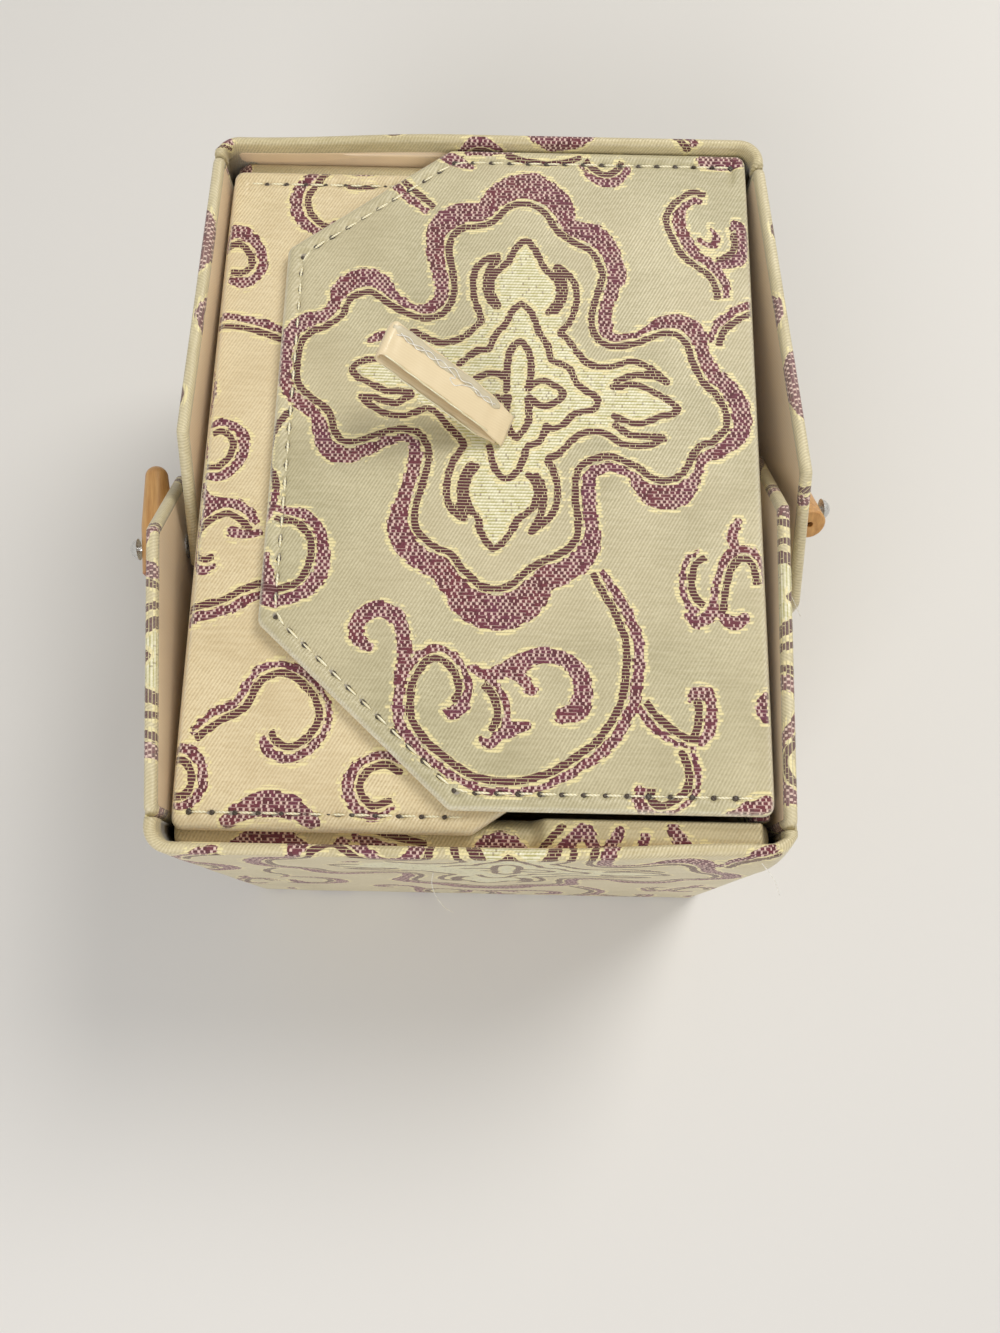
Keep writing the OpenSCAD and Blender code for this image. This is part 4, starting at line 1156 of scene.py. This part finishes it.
def on_wing(side, end, flare, local):
    angle = math.radians(flare)
    c, s = math.cos(angle), math.sin(angle)
    turn = np.array([[c, -s, 0], [s, c, 0], [0, 0, 1]])
    return (np.asarray(local, float) @ turn.T + (-HINGE_X, -HINGE_Y, 0)) * (-side, -end, 1)


def wing_place(side, end, flare, back=False):
    def put(plan, height):
        x = (COVER_T - WING_LINING_IN + height) if back else (COVER_T - height)
        return on_wing(side, end, flare, np.column_stack([x, plan[:, 0], plan[:, 1]]))
    return put


def from_cover(side, end, run, height):
    """A place of the wing's cloth, which goes on from the cover's, run past the hinge."""
    u, v = COVER_AT["front" if end < 0 else "rear"]
    u = u - run if side == end else u + cover_length + run
    return np.column_stack([u, height - COVER_T / 2 - FOOT + v])


for wing, (side, end, top, flare) in WINGS.items():
    shape = [(0.2, WING_FOOT), (top + WING_CUT, WING_FOOT), (top + WING_CUT, RIM_H - WING_CUT),
             (top, RIM_H), (0.2, RIM_H)]

    def wing_figure(cloth):
        return repeat_figure(from_cover(side, end, cloth[:, 0], cloth[:, 1]))

    panel = soft_panel(wing + "_cloth", shape, COVER_T, wing_place(side, end, flare), 0.8,
                       side_brocade, wing, wing_figure, crown=0.06, wave=0.1, seed=11 + len(wing))
    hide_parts(wing + "_brocade")
    lining = thin_satin(wing + "_satin", inset(shape, 1.6), wing_place(side, end, flare, True),
                        wing, crown=0.05, wave=0.08, seed=4)
    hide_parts(wing + "_lining")
print(len(WINGS), "wings")

# %% [markdown]
# ## The tray's walls
# The tray's front and rear walls are thick and softly rounded on top, and the side walls are
# thinner. The brocade lies over each top and ends inside at a hem, where the satin lining takes
# over.

# %% Wall cloth
FLOOR_Z, TURN_DOWN = 3.45, 12.0
STRIP_AT = 74.0     # how far up the front wall's cloth its own strip of figure begins
SWELL_FROM_Z, SWELL_OVER, WALL_END = 74, 5.5, 52.5
FLAP_END_FRONT, FLAP_END_REAR = 10.5, 9     # where the lower flap stops pressing on a wall
FRONT_STROKES = [
    [(-44.5, -3.5, 1.0), (-40.5, 0, 1.5), (-36, 1.5, 1.7), (-31.5, 0, 1.5), (-27.5, -3.5, 1.0)],
    [(-24.2, -1.8, 0.6), (-23.0, 0.6, 0.9), (-21.8, -1.8, 0.6)],
    [(-20.5, 1.2, 0.9), (-15, -0.8, 1.3), (-9, -2.2, 0.9)],
    [(0, -3.5, 1.2), (2, -0.2, 1.4), (5, 1.4, 1.6), (8, 0, 1.4), (10.5, -3.5, 1.2)],
    [(13.5, -3.5, 1.2), (16.5, 0, 1.4), (19.5, 3.5, 1.1)],
    [(20.5, 3.0, 1.0), (23, -2.0, 1.2), (26, 3.0, 1.0)],
    [(29.6, -2.4, 0.9), (30.6, 2.0, 0.9)], [(35.5, 3.5, 1.1), (38, 0, 1.4), (40.5, -3.5, 1.1)],
]
FRONT_LINES = [[(-19.5, 3.4), (-14.5, 1.8), (-8.5, 0.4)], [(2.4, -3.5), (5, -1.2), (8, -3.5)],
               [(11.8, -1.5), (14, 1.4), (16, 3.5)], [(41, 0.5), (45, -1.5), (49, -1.0)]]


def front_figure(plan):
    strip = figure_of(plan - np.array([53.0, STRIP_AT]), [], [], FRONT_STROKES, FRONT_LINES, [])
    common = repeat_figure(plan + np.array([-30.0, -100.0]))
    low = plan[:, 1] < STRIP_AT - 8
    return [np.where(low, b, a) for a, b in zip(strip, common)]


def straight_path(half, level, pitch):
    edge = np.array([0, 0.12, 0.4])
    middle = np.linspace(-half + 1, half - 1, int(2 * half / pitch))
    x = np.concatenate([-half + edge, middle, half - edge[::-1]])
    return np.column_stack([x, np.full(len(x), level)]), np.tile([0.0, -1.0], (len(x), 1))


def bump_between(x, low, low_blend, high, high_blend):
    return np.clip((x - low) / low_blend, 0, 1) * np.clip((high - x) / high_blend, 0, 1)


def front_wadding(x, z, inward):
    """The front wall's top swells where the lower flap doesn't press on it."""
    shoulder = 1.6 * np.clip((inward - 3.4) / 1.6, 0, 1) * bump_between(z, 76.5, 2, 81, 1.2)
    free = smooth_step(bump_between(x, FLAP_END_FRONT, 3.0, WALL_END, 1.5))
    return free * (2.7 * np.clip((z - SWELL_FROM_Z) / SWELL_OVER, 0, 1) + shoulder)


def rear_wadding(x, z, inward):
    """The same behind the lower flap, whose rear edge stops short of the rear cover."""
    free = bump_between(x, FLAP_END_REAR, 4, WALL_END, 1.5)
    return 1.2 * free * np.clip((z - SWELL_FROM_Z) / SWELL_OVER, 0, 1)


QUARTER = np.array([[0.0, 1, 0], [-1, 0, 0], [0, 0, 1]])
WALLS = {     # half its length, its outer face, thickness, top, turn, figure, pitch and wadding
    "front_wall": (53.0, -72.0, 6.0, 81.0, NO_TURN, front_figure, 0.5, front_wadding),
    "rear_wall": (53.0, -72.0, 6.0, 81.0, HALF_TURN, repeat_figure, 0.9, rear_wadding),
    "left_wall": (65.9, -53.0, 3.4, 81.0, QUARTER, repeat_figure, 0.9, None),
    "right_wall": (65.9, -53.0, 3.4, 83.8, QUARTER.T, repeat_figure, 0.9, None),
}
for k, (wall, (half, level, thick, top, turn, figure, pitch, wadding)) in enumerate(WALLS.items()):
    stop = top - thick / 2 - TURN_DOWN
    section = edge_section(thick, FLOOR_Z, top, stop, thick - 0.5, pitch)
    cloth = swept_cloth(wall + "_cloth", *straight_path(half, level, pitch), section, figure,
                        (0, 0) if k == 0 else (-30 * k, -110), turn, soft_ends=(0.55, 0.18, 0.0),
                        lift=wadding)
    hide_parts(wall + "_brocade")
    shape = upright_shape(49.4 if k < 2 else half - 0.3, FLOOR_Z + 0.1, stop + 1)
    lining = thin_satin(wall + "_satin", shape, upright(turn, level + thick - 0.45), "case",
                        crown=0.04, wave=0.08, corner=0.6, seed=20 + k, pitch=1.8)
    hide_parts(wall + "_lining")
print(len(WALLS), "walls")

# %% [markdown]
# ## The floor of the tray
# The pad on the floor is a thin cushion: satin drawn over wadding. Its swell comes from a short
# cloth simulation, in which the skin is blown up a little and then held between the walls.

# %% Padded floor
PAD_HALF, PAD_LOW, PAD_TOP = np.array([49.0, 65.4]), 3.5, 11.3
PAD_BLANK = [(-48.2, -64.6), (48.2, -64.6), (48.2, 64.6), (-48.2, 64.6)]
VOXEL, PRESSURE, LAST_FRAME, SWELL_CAP = 0.0045, 4.0, 20, 0.004


def worked_out(piece):
    """A plain mesh of the piece as its modifiers leave it."""
    depsgraph = bpy.context.evaluated_depsgraph_get()
    return bpy.data.meshes.new_from_object(piece.evaluated_get(depsgraph))


def settle(piece):
    """Gives the piece its worked-out mesh in place of its modifiers."""
    mesh = worked_out(piece)
    piece.modifiers.clear()
    piece.data = mesh
    return mesh


def places_of(mesh):
    return np.array([v.co[:] for v in mesh.vertices])


def swell(piece):
    """Blows the piece up with Blender's cloth, but holds each point near where it began."""
    bpy.context.view_layer.objects.active = piece
    remesh = piece.modifiers.new("remesh", "REMESH")
    remesh.mode, remesh.voxel_size = "VOXEL", VOXEL
    bpy.context.view_layer.update()
    began = places_of(settle(piece))
    cloth = piece.modifiers.new("swell", "CLOTH")
    cloth.settings.use_pressure = True
    cloth.settings.uniform_pressure_force = PRESSURE
    cloth.settings.effector_weights.gravity = 0
    cloth.settings.quality = 6
    for frame_number in range(1, LAST_FRAME + 1):
        scene.frame_set(frame_number)
    now = places_of(worked_out(piece))
    piece.modifiers.clear()
    scene.frame_set(1)
    if len(now) == len(began) and np.isfinite(now).all():
        step = now - began
        size = np.maximum(np.linalg.norm(step, axis=1, keepdims=True), 1e-9)
        began = began + step * np.minimum(size, SWELL_CAP) / size
    return began


pad = soft_panel("pad_blank", PAD_BLANK, 5.0, lying(PAD_LOW + 0.3), 3.5, pad_satin, None, hem=2.6,
                 wave=0, corner=4.0)
points = swell(pad) / MM
points[:, :2] = np.clip(points[:, :2], -PAD_HALF, PAD_HALF)
centre = np.prod(1 - (points[:, :2] / PAD_HALF) ** 2, axis=1)
upper = points[:, 2] > PAD_LOW + 2.5
points[:, 2] += np.where(upper, 0.9 * np.clip(centre, 0, 1) + 0.6, 0)
points[:, 2] = np.clip(points[:, 2], PAD_LOW, PAD_TOP)
pad.data.vertices.foreach_set("co", (points * MM).ravel())
finer = pad.modifiers.new("finer", "SUBSURF")
finer.levels = finer.render_levels = 1
smooth_faces(settle(pad))
pad.name = "floor_pad"
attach(pad, "case")
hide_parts("base_pad")
print("pad faces", len(pad.data.polygons))

# %% Cloth under the base
BASE = [(-53, -72), (53, -72), (53, 72), (-53, 72)]
base = soft_panel("base_cloth_skin", BASE, 0.5, lying(0.5, -1), 1.0, side_brocade, "case",
                  repeat_figure, at=(-20, 40), hem=1.0, wave=0.02, corner=0.6)
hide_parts("base_cloth")
print("base cloth done")

# %% [markdown]
# ## Cloth hinges
# Nothing here is hinged with metal: on the real box the brocade itself bends between the panels.
# Each hinge is its own narrow strip, shaped to run from one panel to the next, with both long edges
# sunk in the panels.

# %% Hinge strips
FLAP_X = 53.0     # where the flaps' hinges lie, left and right of the middle


def strip_between(name, rings, flat, figure, material, start, end):
    piece = make_piece(name, *tube_skin(rings), material, **woven(flat, figure))
    start, end = (tuple(np.array(place) * MM) for place in (start, end))
    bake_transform(piece)


def flap_strip(name, side, level, low, high, figure, material, bulge):
    """A strip from the wall's outer face to the flap's top; level is the flap's underside."""
    front = [(-0.25, -7.2), (0.06, -6.4), (0.14, -4.5), (0.16, -2.2), (0.18, -0.8), (0.17, 0.4),
             (0.12, 1.25), (-0.08, 1.75), (-0.55, 2.15), (-1.1, 2.25)]
    back = [(-1.2, 1.8), (-0.6, 1.4), (-0.45, 0.4), (-0.4, -2.2), (-0.45, -6.8)]
    section = np.array(front + back, float)
    spots = np.linspace(low, high, int((high - low) / 0.8))
    middle, half = (low + high) / 2, (high - low) / 2
    bow = bulge * np.clip(1 - ((spots - middle) / half) ** 2, 0, 1) ** 0.5
    swell_by = np.exp(-((section[:, 1] + 0.6) / 2.4) ** 2)
    rings = [[(side * (FLAP_X + x + b * s), y, level + z) for (x, z), s in zip(section, swell_by)]
             for y, b in zip(spots, bow)]
    reach = np.concatenate([run_length(section[:len(front)])[::-1], np.linspace(0, 9, len(back))])
    flat = np.array([[side * (52.4 + r), y] for y in spots for r in reach])
    strip_between(name, rings, flat, figure, material,
                  (side * FLAP_X, 0, level - 0.3), (side * FLAP_X, 0, level + 1.9))


flap_strip("over_flap_hinge_cloth", 1, OVER_Z, -63.2, 69.2, upper_figure, upper_brocade,
           0.25)
flap_strip("under_flap_hinge_cloth", -1, UNDER_Z, -67.2, 65.2, lower_figure, lower_brocade,
           0.8)
# Points of a wing's strip: on the cover, along the wing (how far, how far out), and back inside
COVER_SIDE = [(0.2, -1.5), (-0.05, -1.0), (-0.12, -0.4), (-0.14, 0.1)]
WING_SIDE = [(0.8, 0.12), (1.6, 0.05), (2.4, -0.25), (1.6, -0.6)]
BACK_SIDE = [(0.5, 0.1), (0.6, -1.0)]
RUN = np.array([1.5, 1.0, 0.4, -0.1, -0.8, -1.6, -2.4, -1.6, 0.0, 1.0])
LEVELS = np.concatenate([[1.6], np.linspace(1.9, 86.6, 100), [86.9]])
for wing, (side, end, top, flare) in WINGS.items():
    angle = math.radians(flare)
    way = np.array([-math.sin(angle), math.cos(angle)])
    outward = np.array([-math.cos(angle), -math.sin(angle)])
    along_wing = [way * far + outward * proud for far, proud in WING_SIDE]
    profile = np.array([-HINGE_X, -HINGE_Y]) + np.vstack([COVER_SIDE, along_wing, BACK_SIDE])
    middle = profile.mean(axis=0)
    rings = [with_third(profile + (middle - profile) * s, z) * (-side, -end, 1)
             for z, s in zip(LEVELS, [0.5] + [0.0] * 100 + [0.5])]
    flat = from_cover(side, end, np.tile(-RUN, len(LEVELS)), np.repeat(LEVELS, len(RUN)))
    at_hinge = np.array([side * HINGE_X, end * HINGE_Y, 44.0])
    strip_between(wing + "_hinge_cloth", rings, flat, repeat_figure, side_brocade,
                  at_hinge + (0, end * 0.5, 0), at_hinge - (0, end * 0.5, 0))
print(2 + len(WINGS), "cloth hinges")

# %% [markdown]
# ## The loop
# A tube of peach satin is pressed flat, doubled and sewn into a slit of the upper flap. It leans to
# the left and stands up. Its long seam lies on the upper edge, held with white thread that has come
# loose.

# %% Satin loop
LOOP_L, LOOP_W, LOOP_FOOT_Z = 28.0, 7.0, 88.1
LOOP_HEADING, LOOP_RISE = math.radians(160), math.radians(-38)
BEND = 0.83     # the radius of the fold at the loop's tip
FOLD_FROM, FOLD_TO, FOLD_Y = 1.7, 27.3, -2.72
LOOP_TURN = np.array(Matrix.Rotation(LOOP_HEADING, 3, "Z") @ Matrix.Rotation(LOOP_RISE, 3, "Y"))


def on_loop(local):
    return np.asarray(local, float) @ LOOP_TURN.T + np.array([*LOOP_BASE, LOOP_FOOT_Z])


def all_round(count):
    return np.linspace(0, 2 * math.pi, count + 1)[:-1]


def strap_path():
    lower = [(-1.2, -0.6), (0.2, -0.68), (3, -0.72), (7, -0.76), (12, -0.78), (17, -0.76),
             (22, -0.74), (25, -0.72)]
    arc = [(LOOP_L - 1.5 + BEND * math.cos(a), 0.11 + BEND * math.sin(a))
           for a in np.linspace(-math.pi / 2, math.pi / 2, 9)]
    upper = [(25, 0.93), (22, 1.0), (17, 1.12), (12, 1.2), (7, 1.12), (3, 0.96), (0.2, 0.8),
             (-2.2, 0.45)]
    return smooth_curve(lower + arc + upper, pieces=4)


def strap_skin():
    line = strap_path()
    angles = all_round(32)
    wide = np.sign(np.cos(angles)) * np.abs(np.cos(angles)) ** 0.35
    thick = np.sign(np.sin(angles)) * np.abs(np.sin(angles)) ** 0.75
    rings = []
    for (x, z), (dx, dz) in zip(line, units(np.gradient(line, axis=0))):
        half = LOOP_W / 2 * (1 + 0.02 * math.sin(x * 0.7 + z) - 0.05 * math.exp(-(x / 2.5) ** 2))
        pinch = 0.40 + 0.05 * math.sin(1.3 * x + 2 * z)
        crease = 0.06 * np.sin(3.1 * x + 4.0 * wide) * (1 - wide ** 2)
        lift = (pinch + crease) * thick
        aside = 0.55 * np.clip(-z / 0.9, -1, 1) * np.clip(x / 4, 0, 1)
        rings.append(np.column_stack([x - dz * lift, wide * half + aside, z + dx * lift]))
    return on_loop(np.array(rings))


def tube_along(line, radius, sides=8):
    """A round tube along a curve."""
    step = units(np.gradient(line, axis=0))
    across = units(np.cross(step, [0.31, 0.22, 0.93]))[:, None]
    other = np.cross(step, across[:, 0])[:, None]
    angles = all_round(sides)[:, None]
    return line[:, None] + radius * (np.cos(angles) * across + np.sin(angles) * other)


def strap_top(x):
    """How high the strap's upper side lies above its middle, along its length."""
    return 0.02 + np.interp(x, [0.2, 3, 7, 12, 17, 22, 25, 27.4],
                            [1.2, 1.36, 1.52, 1.6, 1.52, 1.4, 1.33, 1.0])


loop = make_piece("satin_loop", *tube_skin(strap_skin()), loop_satin, "closure_loop")
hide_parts("closure_loop")

# The side where the strap was sewn shut lies over as a flat fold
rings = []
for x in np.linspace(FOLD_FROM, FOLD_TO, 100):
    end = min(1.0, 0.35 + (x - FOLD_FROM) / 2, 0.35 + (FOLD_TO - x) / 2)
    half = (0.95 + 0.10 * math.sin(0.9 * x) + 0.05 * math.sin(2.7 * x)) * end
    high = (0.24 + 0.05 * math.sin(1.7 * x)) * end
    y = FOLD_Y + 0.12 * math.sin(0.45 * x) + half * np.cos(all_round(16))
    rings.append(np.column_stack([np.full(16, x), y, strap_top(x) + high * np.sin(all_round(16))]))
fold = make_piece("loop_fold", *tube_skin(on_loop(np.array(rings))), fold_satin, "closure_loop")
# The first two are loose white threads; the last two are pale strips of painted highlight along the
# edges of the strap's two layers
THREADS_AND_HIGHLIGHTS = [
    [(3.0, -2.4), (5.2, -1.8), (8.0, -2.3), (10.6, -1.5), (12.2, -0.4), (13.6, -1.0), (12.6, -1.7),
     (14.2, -2.1), (16.4, -2.7), (18.6, -1.8), (21.0, -2.4), (23.6, -1.7), (25.6, -2.3)],
    [(3.4, -1.9), (5.0, -2.6), (7.0, -1.7), (9.2, -2.5), (11.4, -2.0), (13.8, -2.9), (16.2, -1.7),
     (19.0, -2.7), (21.6, -1.7), (24.0, -2.4), (26.2, -1.6)],
    [(2.2, 2.9), (6.0, 3.02), (13.0, 3.1), (20.0, 3.02), (26.4, 2.9)],
    [(3.0, 3.95), (6.0, 4.02), (13.0, 4.1), (20.0, 4.02), (25.6, 3.9)],
]
for k, points in enumerate(THREADS_AND_HIGHLIGHTS):
    course = smooth_curve(points, pieces=9)
    z = strap_top(course[:, 0]) + 0.05 * np.sin(1.9 * course[:, 0] + k) + 0.05 * (k == 1)
    if k < 2:     # loose on the fold
        z = z + 0.30 * np.sqrt(np.clip(1 - (course[:, 1] - FOLD_Y) ** 2, 0, 1))
    else:         # painted highlight: pale strips along the strap's other edge, above and below
        z = z - (0.12 if k == 2 else 1.95)
    rings = tube_along(on_loop(with_third(course, z)), 0.095 if k < 2 else 0.15, 6)
    thin_tube = make_piece("loop_thread_and_highlight_%d" % (k + 1), *tube_skin(rings),
                        white_thread if k < 2 else pale_thread_and_highlight, "closure_loop")
print("loop", len(loop.data.polygons), "faces")

# %% Strap ends under the flap
TAIL = upright_shape(4.5, -3.5, 3.5)


def tail_place(plan, height):
    c, s = math.cos(LOOP_HEADING), math.sin(LOOP_HEADING)
    spot = np.array(LOOP_BASE) + plan[:, :1] * (c, s) + plan[:, 1:] * (-s, c)
    return with_third(spot, OVER_Z + 0.5 - height)


tails = soft_panel("strap_ends", TAIL, 0.62, tail_place, 0.7, loop_satin, "over_flap", hem=0.35,
                   wave=0.03, corner=0.8)
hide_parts("loop_tail")
print("strap ends")

# %% [markdown]
# ## Stitches
# Each row of stitches is one short thread repeated along a line, so Geometry Nodes places them: the
# line becomes a curve, is cut into equal steps, and a small bead is set on each step. The same tree
# sets dark beads of painted shadow at the needle holes. Its sizes are named inputs, and its seed is
# fixed.

# %% A tree for rows of stitches
ROW_INPUTS = [
    ("Geometry", "Geometry", None), ("Pitch", "Float", 0.0038), ("Bead length", "Float", 0.001),
    ("Bead width", "Float", 0.0002), ("Bead height", "Float", 0.0002), ("Unevenness", "Float", 0.1),
    ("Seed", "Int", 3), ("Material", "Material", None),
]
BEAD_SEGMENTS, BEAD_RINGS = 8, 5


def stitch_tree():
    tree = bpy.data.node_groups.new("stitch_rows", "GeometryNodeTree")
    for label, kind, value in ROW_INPUTS:
        kind = "NodeSocket" + kind
        socket = tree.interface.new_socket(label, in_out="INPUT", socket_type=kind)
        if value is not None:
            socket.default_value = value
    tree.interface.new_socket("Geometry", in_out="OUTPUT", socket_type="NodeSocketGeometry")

    def step(kind, inputs, output=0, **settings):
        return add_node(tree, kind, inputs, **settings).outputs[output]

    given = tree.nodes.new("NodeGroupInput").outputs
    curve = step("GeometryNodeMeshToCurve", {"Mesh": given["Geometry"]})
    spots = step("GeometryNodeResampleCurve", {"Curve": curve, "Length": given["Pitch"]},
                 mode="LENGTH")
    bead = step("GeometryNodeMeshUVSphere",
                {"Segments": BEAD_SEGMENTS, "Rings": BEAD_RINGS, "Radius": 0.5}, "Mesh")
    size = step("ShaderNodeCombineXYZ", {0: given["Bead length"], 1: given["Bead width"],
                                         2: given["Bead height"]})
    aim = step("FunctionNodeAlignEulerToVector", {"Vector": step("GeometryNodeInputTangent", {})},
               axis="X")
    chance = add_node(tree, "FunctionNodeRandomValue", {"Seed": given["Seed"]}, data_type="FLOAT")
    low, high = [s for s in chance.inputs if s.type == "VALUE" and s.name in ("Min", "Max")]
    feed(minus(1.0, given["Unevenness"]), low)
    high.default_value = 1.0
    share = next(s for s in chance.outputs if s.type == "VALUE")
    scale = on_vectors("SCALE", {0: size, "Scale": share})
    beads = step("GeometryNodeInstanceOnPoints",
                 {"Points": spots, "Instance": bead, "Rotation": aim, "Scale": scale})
    real = step("GeometryNodeRealizeInstances", {0: beads})
    painted = step("GeometryNodeSetMaterial", {"Geometry": real, "Material": given["Material"]})
    add_node(tree, "NodeGroupOutput", {"Geometry": painted})
    return tree


STITCHES = stitch_tree()


def sew(name, line, body, **sizes):
    """Beads along a line of points, as one plain mesh."""
    mesh = bpy.data.meshes.new(name)
    mesh.from_pydata((line * MM).tolist(), [(k, k + 1) for k in range(len(line) - 1)], [])
    piece = add_object(name, mesh)
    rows = piece.modifiers.new("stitches", "NODES")
    rows.node_group = STITCHES
    for item in STITCHES.interface.items_tree:
        if item.in_out == "INPUT" and item.name in sizes:
            rows[item.identifier] = sizes[item.name]
    smooth_faces(settle(piece))
    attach(piece, body)


BEAD = {"Pitch": 0.0038, "Bead length": 0.0032, "Bead width": 0.00052, "Bead height": 0.00045,
        "Unevenness": 0.2, "Material": pale_thread_and_highlight}
# Dark beads set where the needle holes are: painted shadow
HOLE_SHADOW = {"Pitch": 0.0038, "Bead length": 0.0012, "Bead width": 0.0013, "Bead height": 0.0005,
        "Unevenness": 0.3, "Material": needle_shadow}
SEWN_ROWS = [("over_flap", "over_flap", OVER, OVER_SEWN, OVER_Z),
             ("under_flap_front", "under_flap", UNDER, UNDER_SEWN[:1], UNDER_Z),
             ("under_flap_rear", "under_flap", UNDER, UNDER_SEWN[1:], UNDER_Z)]
KINDS = [("_stitches", 0.5, 0.16, BEAD), ("_needle_hole_shadows", 0.0, 0.36, HOLE_SHADOW)]
for name, body, outline, sides, level in SEWN_ROWS:
    for kind, offset, sunk, sizes in KINDS:
        line = with_third(groove_places(outline, sides, offset), level + FLAP_T - sunk)
        sew(name + kind, line, body, **sizes)
print(len(SEWN_ROWS), "rows of stitches")

# %% [markdown]
# ## Pegs, pins and card
# The pegs, pins, washers and boards keep the shapes that were packed, and only get their finish.
# The wood is a pale one: long grain along the peg, and a redder, darker end where it was sawn.

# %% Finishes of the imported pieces
PALE_WOOD, GRAIN, WARM_WOOD = tone(222, 176, 110), tone(168, 116, 62), tone(196, 140, 78)
SAWN_DARK, SAWN_LIGHT = tone(116, 62, 32), tone(176, 108, 58)
PEG_OUT, PIN_BELOW_RIM, SAWN_SIDE, TIP_SIDE = 3.65, 21.0, 5.6, 17.4
PEGS = {     # its wing, how far along the wing its pin is, and its slope in degrees
    "left_peg": ("front_left_wing", 58.0, -6.0), "right_peg": ("rear_right_wing", 68.0, 36.0),
}


def peg_wood(name, start, way):
    """Long grain along the peg; start is its sawn end, in millimetres."""
    material, tree, shader = new_material(name, {"Coat Weight": 0.15, "Coat Roughness": 0.3})
    place = on_vectors("SUBTRACT", {0: object_place(tree), 1: tuple(start * MM)})
    along = on_vectors("DOT_PRODUCT", {0: place, 1: way}, "Value")
    squeezed = on_vectors("SCALE", {0: way, "Scale": times(along, -0.93)})
    grainward = on_vectors("ADD", {0: place, 1: squeezed})
    grain, broad = cloud(grainward, 1500.0, 4.0), cloud(grainward, 380.0)
    colour = mix_colour(ramp(grain, 1.8, -0.4, clamp=True), GRAIN, PALE_WOOD)
    colour = mix_colour(times(broad, 0.35), colour, WARM_WOOD)
    end_grain = mix_colour(cloud(place, 1200.0, 3.0), SAWN_DARK, SAWN_LIGHT)
    colour = mix_colour(ramp(along, -2200.0, 1.1, clamp=True), colour, end_grain)
    add_bump(shader, grain, 0.00012, 0.5)
    fill(shader, {"Base Color": colour, "Roughness": ramp(grain, 0.2, 0.36)})
    return material


def finish_node(name, material):
    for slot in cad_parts[name].material_slots:
        slot.material = material


for peg, (wing, reach, slope) in PEGS.items():
    side, end, top, flare = WINGS[wing]
    slope = math.radians(slope)
    way = np.array([0, math.cos(slope), -math.sin(slope)])
    pin = np.array([-PEG_OUT, reach, RIM_H - PIN_BELOW_RIM])
    sawn, tip = on_wing(side, end, flare, [pin - way * SAWN_SIDE, pin + way * TIP_SIDE])
    finish_node(peg, peg_wood(peg + "_wood", sawn, tuple(unit(tip - sawn))))
for node in ("left_pin", "left_washer", "right_pin", "right_washer"):
    finish_node(node, polished_pin)
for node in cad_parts:
    if node.endswith("_board") and "cover" not in node:
        finish_node(node, grey_card)
finish_node("base_board", edge_cloth)
print("finishes set")

# %% [markdown]
# ## Loose threads
# Hand-sewn silk frays, and a few fine ends stand out from the edges. They are drawn as thin curves.

# %% Loose threads
LOOSE = [
    [(-7.6, -74.3, 62), (-7.9, -76.2, 60.5), (-7.2, -78.4, 58.8), (-5.4, -80.6, 58),
     (-3.6, -81.6, 58.2)],
    [(56.2, -17, 80), (58.2, -18.5, 78.5), (60.6, -21, 76), (62.8, -24.5, 74)],
    [(56.3, -44, 84), (57.8, -46, 82.5), (58.9, -49.5, 80.5)],
    [(50.2, -73.6, 86.5), (52.6, -76.0, 84.5), (54.0, -78.6, 82.5)],
]
for k, points in enumerate(LOOSE):
    skin = tube_skin(tube_along(smooth_curve(points, pieces=8), 0.07, 5))
    thin_tube = make_piece("loose_thread_%d" % (k + 1), *skin, white_thread, "case")
print(len(LOOSE), "loose threads")

# %% The end
print("done")
